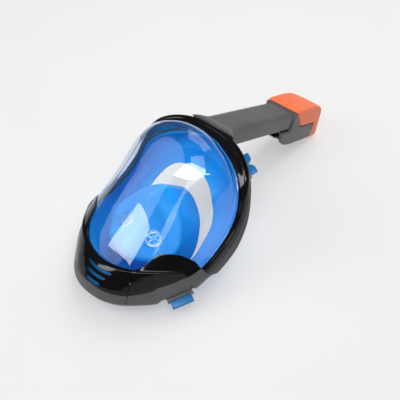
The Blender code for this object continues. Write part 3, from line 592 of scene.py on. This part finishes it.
def across_chin(count=28, first=12.01):
    half = [(t, 1) for t in span(first, 14.0, count)]
    return half + [(t, -1) for t, _ in reversed(half[:-1])]


def slot_tools():
    made = []
    for y, half in SLOT_ROWS:
        sections = []
        for i in range(25):
            x = half * (2 * i / 24 - 1)
            sag = 0.0035 * (x / 0.02) ** 2
            slim = 0.0017 * math.sqrt(max(0.04, 1 - (abs(x) / half) ** 8))
            corners = ((-slim, -0.012), (slim, -0.012), (slim, 0.012), (-slim, 0.012))
            sections.append([Vector((x, y + sag + dy, dz)) for dy, dz in corners])
        made.append(loft("slot", sections))
    return made


def slot_insert_mesh():
    sections = []
    for i in range(33):
        x = 0.0205 * (2 * i / 32 - 1)
        sag = 0.0035 * (x / 0.02) ** 2
        rows = ((-0.0985, 0.0040), (-0.1180, -0.0040), (-0.1180, -0.0052), (-0.0985, 0.0028))
        sections.append([Vector((x, y + sag, z - 6 * x * x)) for y, z in rows])
    return loft("slot_insert", sections)


def chin_base_section(t, side):
    foot = sided(cover_edge(t) + (0, 0, -0.0063), side)
    inward = inward_at(foot)
    low = foot + inward * 0.0035 + Vector((0, 0, -0.0055))
    edge = rim(t, rim_width(t) + 0.0005, -0.0150, side)
    points = [foot, low, edge + Vector((0, 0, -0.0011)), edge + Vector((0, 0, 0.0011)),
              low + inward * 0.0030 + Vector((0, 0, 0.0030)), foot + inward * 0.0024]
    return rounded(points, 0.0006, 3)


# Snorkel ------------------------------------------------------------------------------
def snorkel(x, w, v):
    """A point of the snorkel's own frame (w along the tube, v forward), in the mask's."""
    along = Vector((0, math.cos(SNORKEL_LEAN), -math.sin(SNORKEL_LEAN)))
    forward = Vector((0, math.sin(SNORKEL_LEAN), math.cos(SNORKEL_LEAN)))
    return SEAM + Vector((x, 0, 0)) + along * w + forward * v


def oblong(w, half, top, bottom, corner, drop=None, soft=0.0, steps=4):
    """A rectangle with cut and softened corners, across the snorkel at w."""
    drop = corner if drop is None else drop
    points = [(half - corner, top), (half, top - drop), (half, bottom + drop), (half - corner, bottom)]
    points += [(-x, v) for x, v in reversed(points)]
    return rounded([snorkel(x, w, v) for x, v in points], soft, steps)


def oblong_back(v, half_x, half_w, soft=0.0012, middle=0.0130):
    corners = ((-half_x, -half_w), (half_x, -half_w), (half_x, half_w), (-half_x, half_w))
    return rounded([snorkel(x, middle + w, v) for x, w in corners], soft, 6)


def frame_clearance():
    made = []
    for y, z in ((0.1059, -0.0160), (0.1005, -0.0600)):
        rows = [[Vector((x, a, b)) for a, b in ((0.05, z), (y, z), (y, 0.06), (0.05, 0.06))]
                for x in (-0.06, 0.06)]
        made.append(loft("frame_clearance", rows))
    return made


def tube_mesh():
    soft = 0.0022
    outer = [(-SPIGOT_LENGTH, 0.0170, -0.0040, -0.0200, 0.003, 0.003),
             (0.0003, 0.0170, -0.0040, -0.0200, 0.003, 0.003),
             (0.0003, 0.0214, -0.0006, 0.0006 - TUBE_DEPTH, 0.0062, 0.0028),
             (0.0009, TUBE_HALF, 0.0, -TUBE_DEPTH, 0.0065, 0.0030),
             (TUBE_LENGTH - 0.0006, TUBE_HALF, 0.0, -TUBE_DEPTH, 0.0065, 0.0030),
             (TUBE_LENGTH, TUBE_HALF - 0.0006, -0.0006, 0.0006 - TUBE_DEPTH, 0.0062, 0.0028)]
    inner = [(TUBE_LENGTH, TUBE_HALF - TUBE_WALL, -TUBE_WALL, TUBE_WALL - TUBE_DEPTH, 0.0055, 0.0025),
             (0.004, TUBE_HALF - TUBE_WALL, -TUBE_WALL, TUBE_WALL - TUBE_DEPTH, 0.0055, 0.0025),
             (0.001, 0.0148, -0.0062, -0.0178, 0.002, 0.002),
             (-SPIGOT_LENGTH, 0.0148, -0.0062, -0.0178, 0.002, 0.002)]
    loops = [oblong(*row, soft=soft) for row in outer + inner]
    data = loft("snorkel_tube", loops, closed=True)
    hole = loft("latch_hole", [oblong_back(v, 0.0066, 0.0046, 0.0014) for v in (-0.0190, -0.0300)])
    return cut(data, hole, *frame_clearance())


NECK_ROWS = [  # w, half width, front, back, corner
    (-0.0165, 0.0330, 0.0010, -0.0230, 0.0080), (-0.0110, 0.0290, 0.0012, -0.0243, 0.0075),
    (-0.0050, 0.0245, 0.0006, -0.0242, 0.0068), (0.0, TUBE_HALF, 0.0, -TUBE_DEPTH, 0.0065),
]


def neck_mesh():
    ws = [row[0] for row in NECK_ROWS]
    rows = []
    for i in range(23):
        w = ws[0] + (ws[-1] - ws[0]) * i / 22
        half, top, bottom, corner = (float(np.interp(w, ws, [row[k] for row in NECK_ROWS]))
                                     for k in (1, 2, 3, 4))
        ease = 0.0004 if i == 22 else 0.0
        rows.append(oblong(w, half - ease, top - ease, bottom + ease, corner, corner / 2, soft=0.0024))
    data = loft("snorkel_neck", rows)
    socket = [oblong(w, 0.0173, -0.0037, -0.0203, 0.003) for w in (-0.030, 0.005)]
    return cut(data, loft("socket", socket), *frame_clearance())


def latch_mesh():
    rows = [oblong_back(-0.0206, 0.0063, 0.0043), oblong_back(-0.0254, 0.0063, 0.0043),
            oblong_back(-0.0259, 0.0061, 0.0041), oblong_back(-0.0262, 0.0055, 0.0035)]
    data = loft("latch_button", rows)
    ribs = []
    for k in (-1, 0, 1):
        middle = 0.0130 + 0.0016 * k
        sections = [oblong_back(v, 0.0040, 0.0003, 0.0002, middle) for v in (-0.02585, -0.0270)]
        ribs.append(loft("rib", sections))
    return cut(data, *ribs)


def prism(name, profile, half):
    return loft(name, [[snorkel(x, w, v) for w, v in profile] for x in (-half, half)])


def soft_profile(profile, radii, steps=5):
    points = rounded([Vector((w, v, 0)) for w, v in profile], radii, steps)
    return [(point.x, point.y) for point in points]


def inset(profile, amount):
    """The profile with every edge moved inwards by the same amount."""
    points = [Vector(point) for point in profile]
    count = len(points)
    area = sum(points[i - 1].cross(points[i]) for i in range(count))
    turn = 1 if area > 0 else -1
    made = []
    for i, corner in enumerate(points):
        before = (corner - points[i - 1]).normalized()
        after = (points[(i + 1) % count] - corner).normalized()
        first = Vector((-before.y, before.x)) * turn
        second = Vector((-after.y, after.x)) * turn
        made.append(corner + (first + second) / (1 + first.dot(second)) * amount)
    return [(point.x, point.y) for point in made]


def crowned(name, profile, radii, half, edge, tip=0.0):
    """A prism whose long edges are rounded, and whose far end is rounded across by `tip`."""
    rows = []
    for i in range(7):
        a = math.pi / 2 * i / 6
        rows.append((-half + edge * (1 - math.cos(a)), edge * (1 - math.sin(a))))
    rows += [(x, 0.0) for x in span(-half + edge, half - edge, 24)[1:-1]]
    rows += [(-x, amount) for x, amount in reversed(rows[:7])]
    sections = []
    for x, amount in rows:
        back = tip * (abs(x) / half) ** 2.5
        far = [(w - back * max(0.0, (w - 0.195) / 0.036), v) for w, v in inset(profile, amount)]
        sections.append([snorkel(x, w, v) for w, v in soft_profile(far, radii)])
    return loft(name, sections)


CAP_TIP = 0.010
HOOD_PROFILE = [
    (0.1394, -0.0243), (0.1394, 0.0018), (0.1415, 0.0018), (0.1512, -0.0066), (0.1645, -0.0206),
    (0.2056, -0.0209), (0.2056, -0.0426), (0.1500, -0.0450), (0.1330, -0.0432), (0.1215, -0.0360),
    (0.1180, -0.0243),
]
HOOD_SOFT = [0.001, 0.0004, 0.0008, 0.002, 0.003, 0.0006, 0.003, 0.006, 0.005, 0.004, 0.001]
CAP_PROFILE = [
    (0.1424, 0.0024), (0.1500, 0.0044), (0.1800, 0.0058), (0.2030, 0.0052), (0.2150, 0.0022),
    (0.2215, -0.0040), (0.2310, -0.0385), (0.2280, -0.0420), (0.2064, -0.0430), (0.2064, -0.0202),
    (0.1652, -0.0199), (0.1520, -0.0060),
]
CAP_SOFT = [0.0006, 0.004, 0.012, 0.008, 0.005, 0.006, 0.003, 0.002, 0.0006, 0.0008, 0.003, 0.002]
CAP_HOLLOW = [
    (0.1690, -0.0260), (0.1690, -0.0060), (0.1560, 0.0005), (0.1800, 0.0034), (0.2020, 0.0028),
    (0.2135, 0.0002), (0.2190, -0.0055), (0.2280, -0.0370), (0.2260, -0.0400), (0.2085, -0.0404),
    (0.2085, -0.0180), (0.2035, -0.0180), (0.2035, -0.0260),
]
HOOD_HOLLOW = [
    (0.1200, -0.0270), (0.1235, -0.0352), (0.1342, -0.0414), (0.1505, -0.0426), (0.2034, -0.0404),
    (0.2034, -0.0150), (0.1665, -0.0150), (0.1500, -0.0150), (0.1440, -0.0270),
]
GRILLE = [
    (0.1186, -0.0247), (0.1222, -0.0358), (0.1336, -0.0428), (0.1466, -0.0444), (0.1466, -0.0424),
    (0.1345, -0.0409), (0.1239, -0.0345), (0.1207, -0.0247),
]
GRILLE_WINDOW = [
    (0.1150, -0.0230), (0.1150, -0.0480), (0.1470, -0.0480), (0.1470, -0.0420),
    (0.1348, -0.0405), (0.1243, -0.0341), (0.1212, -0.0230),
]


def hood_mesh():
    data = crowned("hood", HOOD_PROFILE, HOOD_SOFT, HEAD_HALF, 0.0018)
    port = loft("hood_port", [oblong(w, 0.0188, -0.0030, -0.0260, 0.004) for w in (0.136, 0.160)])
    return cut(data, prism("hood_hollow", HOOD_HOLLOW, HEAD_HALF - HEAD_WALL),
               prism("hood_window", GRILLE_WINDOW, 0.0203), port)


def cap_mesh():
    data = crowned("cap", CAP_PROFILE, CAP_SOFT, HEAD_HALF, 0.0018, tip=CAP_TIP)
    return cut(data, crowned("cap_hollow", CAP_HOLLOW, 0.001, HEAD_HALF - HEAD_WALL, 0.0005, tip=CAP_TIP))


def grille_mesh():
    """The perforated face: rows of small square holes along the curved grille."""
    data = prism("intake_grille", soft_profile(GRILLE, 0.003, 4), 0.0200)
    path = [(0.1196, -0.0262), (0.1226, -0.0352), (0.1338, -0.0419), (0.1455, -0.0436)]
    lengths = [0.0]
    for (a, b), (c, d) in zip(path[:-1], path[1:]):
        lengths.append(lengths[-1] + math.hypot(c - a, d - b))
    tools = []
    rows = 9
    for i in range(rows):
        s = lengths[-1] * (i + 0.5) / rows
        w = float(np.interp(s, lengths, [p[0] for p in path]))
        v = float(np.interp(s, lengths, [p[1] for p in path]))
        k = max(j for j in range(len(path) - 1) if lengths[j] <= s)
        direction = Vector((path[k + 1][0] - path[k][0], path[k + 1][1] - path[k][1])).normalized()
        normal = Vector((-direction.y, direction.x))
        for c in range(9):
            x = 0.0036 * (c - 4)
            corners = []
            for a, b in ((-1, -1), (1, -1), (1, 1), (-1, 1)):
                corners.append((w + direction.x * 0.0011 * a, v + direction.y * 0.0011 * a, x + 0.0012 * b))
            sections = []
            for depth in (-0.004, 0.004):
                sections.append([snorkel(cx, cw + normal.x * depth, cv + normal.y * depth)
                                 for cw, cv, cx in corners])
            tools.append(loft("hole", sections))
    joined = bmesh.new()
    for tool in tools:
        joined.from_mesh(tool)
    together = bpy.data.meshes.new("holes")
    joined.to_mesh(together)
    joined.free()
    return cut(data, together)


# Clips --------------------------------------------------------------------------------
CLIP_LENGTH = 0.0255
CLIP_BARREL = 0.0028
CLIP_REACH = 0.0115  # from the pin to the tip
CLIP_PIN = 0.0011
CLIP_BORE = 0.0014
CLIP_POCKET = (0.0050, 0.0078)  # the strap's pocket, measured from the pin
CLIP_POCKET_FRONT = 0.0006  # it is open at the back and closed in front
CLIP_NOTCH_HALF = 0.0058
CLIP_NOTCH_DEPTH = 0.0046
FORK_EAR = 0.0026
FORK_HALF = 0.0036
FORK_BACK = -0.0032
BEYOND = 0.01  # how far a cutter runs past what it cuts
UPPER_CLIP_T = 2.85
UPPER_CLIP_OUT = 0.0106
UPPER_CLIP_RISE = -0.0202
LOWER_CLIP_T = 10.475
LOWER_CLIP_RISE = -0.0118
FORK_FRONT = {"upper": 0.0053, "lower": 0.0055}


def local_frame(centre, along, out):
    along = Vector(along).normalized()
    out = (Vector(out) - along * along.dot(Vector(out))).normalized()
    front = along.cross(out)
    front = front if front.z > 0 else -front
    centre = Vector(centre)
    return lambda a, b, c: centre + along * a + out * b + front * c


def clip_place(side, level):
    if level == "upper":
        t, at = UPPER_CLIP_T, rim(UPPER_CLIP_T, UPPER_CLIP_OUT, UPPER_CLIP_RISE, side)
        ahead = rim(t + 0.4, UPPER_CLIP_OUT, 0, side) - rim(t - 0.4, UPPER_CLIP_OUT, 0, side)
        return local_frame(at, ahead, rim(t, 0.02, 0, side) - rim(t, 0.01, 0, side))
    edge = sided(cover_edge(LOWER_CLIP_T), side)
    out = -inward_at(edge)
    ahead = sided(cover_edge(LOWER_CLIP_T + 0.3), side) - sided(cover_edge(LOWER_CLIP_T - 0.3), side)
    return local_frame(edge - out * 0.0015 + Vector((0, 0, LOWER_CLIP_RISE)), ahead, out)


def block(place, low, high):
    (a0, b0, c0), (a1, b1, c1) = low, high
    return [[place(a, b, c) for b, c in ((b0, c0), (b1, c0), (b1, c1), (b0, c1))] for a in (a0, a1)]


def rod(name, place, radius, first, last, sides=32):
    rows = []
    for a in (first, last):
        rows.append([place(a, radius * math.cos(2 * math.pi * i / sides),
                           radius * math.sin(2 * math.pi * i / sides)) for i in range(sides)])
    return loft(name, rows)


def clip_mesh(place, level):
    """A strap clip: a barrel round the pin, a plate with the strap's pocket and a notched tip."""
    half = CLIP_LENGTH / 2
    rows = []
    for a in (-half, half):
        barrel = [place(a, -CLIP_BARREL * math.sin(t), CLIP_BARREL * math.cos(t))
                  for t in (math.pi * d / 12 for d in range(13))]
        rows.append(barrel + [place(a, CLIP_REACH, -0.0024), place(a, CLIP_REACH + 0.0012, 0.0),
                              place(a, CLIP_REACH, 0.0020)])
    data = loft("clip", rows)
    inner, outer = CLIP_POCKET
    pocket = block(place, (-half + 0.004, inner, -BEYOND), (half - 0.004, outer, CLIP_POCKET_FRONT))
    bore = rod("clip_bore", place, CLIP_BORE, -half - BEYOND, half + BEYOND)
    data = cut(data, loft("strap_pocket", pocket), bore)
    if level == "upper":
        tip = ((-CLIP_NOTCH_HALF, CLIP_REACH + 0.002), (CLIP_NOTCH_HALF, CLIP_REACH + 0.002),
               (0.0, CLIP_REACH - CLIP_NOTCH_DEPTH))
        notch = [[place(a, b, c) for a, b in tip] for c in (CLIP_POCKET_FRONT - BEYOND, BEYOND)]
        data = cut(data, loft("clip_notch", notch))
    return edged(data, 0.0004, 2, 50)


def fork_mesh(place, front):
    """The fork that holds a strap clip: a block with a gap for the barrel and a bore for the pin."""
    half, end = CLIP_LENGTH / 2, CLIP_LENGTH / 2 + FORK_EAR
    data = loft("fork", block(place, (-end, -FORK_HALF, FORK_BACK), (end, FORK_HALF, front)))
    gap = block(place, (-half - 0.0003, -0.0060, -0.0080), (half + 0.0003, 0.0060, 0.0034))
    bore = rod("bore", place, CLIP_BORE, -half - BEYOND, half + BEYOND)
    data = cut(data, loft("gap", gap), bore)
    return edged(data, 0.0005, 3, 50)


# Breathing cup and valves -------------------------------------------------------------
CUP_FRONT = [
    (0.0, 0.0155, 0.004), (0.010, 0.0135, -0.002), (0.027, 0.003, -0.012), (0.041, -0.014, -0.020),
    (0.048, -0.031, -0.024), (0.043, -0.050, -0.024), (0.025, -0.066, -0.017), (0.0, -0.072, -0.010),
]
CUP_REAR = [
    (0.0, 0.034, -0.040), (0.018, 0.029, -0.046), (0.037, 0.012, -0.053), (0.050, -0.012, -0.056),
    (0.054, -0.036, -0.0575), (0.046, -0.058, -0.0545), (0.0255, -0.073, -0.0500), (0.0, -0.078, -0.048),
]


def cup_loop(share, inset, drop=0.0, count=56):
    last = len(CUP_FRONT) - 1
    half = []
    for i in range(count + 1):
        t = last * i / count
        point = spline(CUP_FRONT, t) * (1 - share) + spline(CUP_REAR, t) * share
        away = point - np.array((0.0, -0.036, 0.0))
        flat = math.hypot(away[0], away[1])
        point[:2] -= away[:2] / flat * inset
        half.append((point[0], point[1], point[2] - drop))
    return [Vector(p) for p in half] + [Vector((-x, y, z)) for x, y, z in reversed(half[1:-1])]


def valve_axis(side):
    return Vector((0.35 * side, 0.10, 1.0))


def valve_centre(side):
    return Vector((VALVE_AT[0] * side, VALVE_AT[1], VALVE_AT[2]))


def cup_mesh():
    wall = 0.0018
    outer = [(0, 0.020, -CUP_DOME), (0, 0.014, -0.80 * CUP_DOME), (0, 0.008, -0.5 * CUP_DOME),
             (0, 0.0035, -0.17 * CUP_DOME), (0, 0.0020, -0.06 * CUP_DOME), (0.015, 0.0010, 0.0002),
             (0.035, 0.0004, 0), (0.07, 0, 0), (0.2, 0, 0), (0.35, 0, 0), (0.5, 0, 0), (0.65, 0, 0),
             (0.8, 0, 0), (0.92, 0, 0), (0.98, 0.0001, 0), (1.0, 0.0006, 0)]
    inner = [(1.0, wall - 0.0006, 0), (0.98, wall, 0), (0.8, wall, 0), (0.5, wall, 0), (0.2, wall, 0),
             (0.08, wall + 0.0006, wall * 0.7), (0.03, wall + 0.002, wall),
             (0, 0.008, wall - 0.5 * CUP_DOME), (0, 0.014, wall - 0.80 * CUP_DOME),
             (0, 0.020, wall - CUP_DOME)]
    loops = [cup_loop(*row) for row in outer + inner]
    data = loft("breathing_cup", loops, fans=True)
    through = [(-0.012, VALVE_RADIUS), (0.012, VALVE_RADIUS)]
    holes = [turned("valve_hole", valve_centre(s), valve_axis(s), through) for s in (1, -1)]
    return cut(data, *holes)


def valve_seat_mesh(side):
    """The clear ring of an inhale valve, with a hub and spokes across it."""
    inner = VALVE_RADIUS - 0.0003
    profile = [(-0.0020, inner), (0.0010, inner), (0.0014, inner - 0.0005), (0.0014, inner - 0.0018),
               (0.0010, inner - 0.0022), (-0.0020, inner - 0.0022)]
    centre, axis = valve_centre(side), valve_axis(side).normalized()
    seat = turned("seat", centre, axis, profile, 64, closed=True)
    tools = [turned("hub", centre, axis, [(-0.0016, 0.0018), (0.0008, 0.0018), (0.0011, 0.0014)], 32)]
    turn = axis.to_track_quat("Z", "X").to_matrix()
    for k in range(3):
        a = math.pi * k / 3
        run = turn @ Vector((math.cos(a), math.sin(a), 0))
        wide = turn @ Vector((-math.sin(a), math.cos(a), 0)) * 0.0004
        rows = []
        for end in (-1, 1):
            middle = centre + run * (inner - 0.0010) * end
            rows.append([middle + wide * p + axis * q for p, q in
                         ((-1, -0.0014), (1, -0.0014), (1, 0.0004), (-1, 0.0004))])
        tools.append(loft("spoke", rows))
    return cut(seat, *tools, operation="UNION")


def flap_mesh(side):
    edge = VALVE_RADIUS - 0.0009
    bevel = edge - 0.0003
    profile = [(-0.0031, bevel), (-0.0029, edge), (-0.0025, edge), (-0.0023, bevel)]
    return turned("flap", valve_centre(side), valve_axis(side), profile, 64)


# The object ---------------------------------------------------------------------------
PLACE = place_of_mask()


def build_mask():
    piece("lens_shell", lens_mesh(), ["lens"], "mask", "lens_clear", 60)
    piece("front_rim", ring("front_rim", front_frame_section), ["front_frame"], "mask", "black_gloss")
    piece("rear_rim", ring("rear_rim", rear_frame_section), ["rear_frame"], "mask", "wing_grey")
    piece("face_skirt", ring("face_skirt", skirt_section), ["skirt"], "mask", "blue_silicone", 60)
    piece("nose_cup", cup_mesh(), ["breathing_cup"], "mask", "blue_silicone", 60)
    for side, tag in ((1, "l"), (-1, "r")):
        seat, flap = valve_seat_mesh(side), flap_mesh(side)
        piece(f"valve_ring_{tag}", seat, [f"inhale_seat_{tag}"], "mask", "clear_plastic")
        piece(f"valve_disc_{tag}", flap, [f"inhale_flap_{tag}"], f"inhale_valve_{tag}", "blue_silicone")


def build_chin():
    accent = loft("chin_panel", [accent_section(t, s) for t, s in across_chin()])
    piece("chin_panel", cut(accent, *slot_tools()), ["chin_accent"], "mask", "black_gloss")
    cover = loft("chin_shell", [cover_section(t, s) for t, s in across_chin()])
    piece("chin_shell", cover, ["chin_cover"], "mask", "wing_grey")
    base = loft("chin_under", [chin_base_section(t, s) for t, s in across_chin()])
    piece("chin_under", base, ["chin_base"], "mask", "wing_grey")
    piece("slot_backing", slot_insert_mesh(), ["slot_insert"], "mask", "blue_plastic")
    steps = span(COVER_FIRST + 0.01, 11.99, 72)
    for side, tag in ((1, "l"), (-1, "r")):
        panel = loft("wing_panel", [accent_section(t, side) for t in steps])
        piece(f"wing_panel_{tag}", panel, [f"wing_accent_{tag}"], "mask", "black_gloss")
        shell = loft("wing_shell", [cover_section(t, side) for t in steps])
        piece(f"wing_shell_{tag}", shell, [f"wing_{tag}"], "mask", "wing_grey")


def build_clips():
    end = CLIP_LENGTH / 2 + FORK_EAR - 0.0002
    for side, tag in ((1, "l"), (-1, "r")):
        for level in ("upper", "lower"):
            place = clip_place(side, level)
            name = f"{level}_{tag}"
            clip, fork = clip_mesh(place, level), fork_mesh(place, FORK_FRONT[level])
            pin = edged(rod("pin", place, CLIP_PIN, -end, end), 0.0002, 2, 60)
            piece(f"strap_buckle_{name}", clip, [f"clip_{name}"], f"strap_clip_{name}", "blue_plastic", 30)
            piece(f"fork_{name}", fork, [f"clip_fork_{name}"], "mask", "wing_grey", 30)
            piece(f"pin_{name}", pin, [f"clip_pin_{name}"], "mask", "steel", 30)


def build_snorkel():
    piece("neck_shell", neck_mesh(), ["snorkel_neck"], "mask", "tube_grey", 30)
    piece("tube_shell", tube_mesh(), ["snorkel_tube"], "snorkel", "tube_grey", 30)
    piece("latch_key", latch_mesh(), ["latch_button"], "latch", "blue_plastic", 30)
    piece("hood_shell", hood_mesh(), ["hood"], "snorkel", "tube_grey", 30)
    piece("grille_face", grille_mesh(), ["intake_grille"], "snorkel", "black_gloss", 30)
    piece("cap_shell", cap_mesh(), ["cap"], "snorkel", "orange_plastic", 30)


def dress_cad_nodes():
    """The inner CAD pieces that stay as they are get the finish of their slot."""
    slots = {row["node"]: row["material_slot"] for row in frame["record"]["subparts"]}
    for name, obj in frame["nodes"].items():
        if obj.hide_render:
            continue
        obj.data.materials.clear()
        obj.data.materials.append(LOOKS[slots[name]])


# Studio -------------------------------------------------------------------------------
def build_floor():
    """A pale table that glows a little, so that the shadow on it stays faint."""
    made = Nodes("studio_floor")
    made.link(made.mixed(made.noise(3, 2), (0.42, 0.42, 0.42), (0.46, 0.46, 0.46)),
              made.shader.inputs["Base Color"])
    made.shader.inputs["Roughness"].default_value = 1.0
    made.shader.inputs["Specular IOR Level"].default_value = 0.0
    made.shader.inputs["Emission Color"].default_value = (1, 1, 1, 1)
    made.shader.inputs["Emission Strength"].default_value = FLOOR_GLOW
    mesh = bmesh.new()
    bmesh.ops.create_grid(mesh, x_segments=1, y_segments=1, size=6.0)
    data = bpy.data.meshes.new("floor")
    mesh.to_mesh(data)
    mesh.free()
    floor = helper("studio_floor", data)
    floor.location = (0, 0, -0.0005)
    data.materials.append(made.material)


def direction(azimuth, elevation):
    a, e = math.radians(azimuth), math.radians(elevation)
    return Vector((math.sin(a) * math.cos(e), -math.cos(a) * math.cos(e), math.sin(e)))


def light_card(name, corners, distance, strength):
    """A glowing panel, its corners given as directions from the mask, for the lens to mirror."""
    middle = PLACE @ Vector((0, 0, 0.01))
    data = bpy.data.meshes.new(name)
    data.from_pydata([tuple(middle + direction(a, e) * distance) for a, e in corners], [],
                     [range(len(corners))])
    made = Nodes(name)
    glow = made.add("ShaderNodeEmission")
    made.link(made.ranged(made.noise(2, 1), strength * 0.95, strength * 1.05), glow.inputs["Strength"])
    made.link(glow.outputs["Emission"], made.output.inputs["Surface"])
    data.materials.append(made.material)
    card = helper(name, data)
    card.visible_diffuse = False
    card.visible_transmission = False


def softbox(name, azimuth, elevation, distance, size, power):
    """A large lamp turned towards the mask, which glossy surfaces don't mirror."""
    light = bpy.data.lights.new(name, "AREA")
    light.shape = "SQUARE"
    light.size = size
    light.energy = power
    lamp = bpy.data.objects.new(name, light)
    back = direction(azimuth, elevation)
    lamp.location = PLACE @ Vector((0, 0, 0)) + back * distance
    lamp.rotation_mode = "QUATERNION"
    lamp.rotation_quaternion = back.to_track_quat("Z", "Y")
    lamp.visible_glossy = False
    bpy.context.scene.collection.objects.link(lamp)


def build_studio():
    world = bpy.data.worlds.new("studio")
    bpy.context.scene.world = world
    world.use_nodes = True
    ground = world.node_tree.nodes["Background"]
    ground.inputs["Color"].default_value = (1, 1, 1, 1)
    ground.inputs["Strength"].default_value = WORLD_GLOW
    light_card("card_front", ((-36, 27.5), (-9, 33), (-6, 43), (-38.5, 35.5)), 1.33, CARD_GLOW)
    light_card("card_side", ((-17, 45), (24, 45.5), (50, 40.5), (92, 33), (66, 51), (8, 60)),
               1.33, CARD_GLOW * 1.25)
    for lamp in LAMPS:
        softbox(*lamp)
    view = bpy.context.scene.view_settings
    view.view_transform = "Standard"


def build_camera():
    camera = bpy.data.cameras.new("camera")
    camera.sensor_width = 36
    camera.lens = CAMERA_LENS
    camera.clip_start = 0.01
    obj = bpy.data.objects.new("camera", camera)
    bpy.context.scene.collection.objects.link(obj)
    a, e, roll = CAMERA_AZIMUTH, CAMERA_ELEVATION, CAMERA_ROLL
    back = Vector((math.sin(a) * math.cos(e), -math.cos(a) * math.cos(e), math.sin(e)))
    level = Vector((math.cos(a), math.sin(a), 0))
    raised = back.cross(level)
    right = level * math.cos(roll) + raised * math.sin(roll)
    up = back.cross(right)
    at = PLACE @ CAMERA_TARGET + back * CAMERA_DISTANCE
    obj.matrix_world = Matrix(((right.x, up.x, back.x, at.x), (right.y, up.y, back.y, at.y),
                               (right.z, up.z, back.z, at.z), (0, 0, 0, 1)))
    bpy.context.scene.camera = obj


build_camera()
build_floor()
build_studio()
build_mask()
build_chin()
build_clips()
build_snorkel()
dress_cad_nodes()
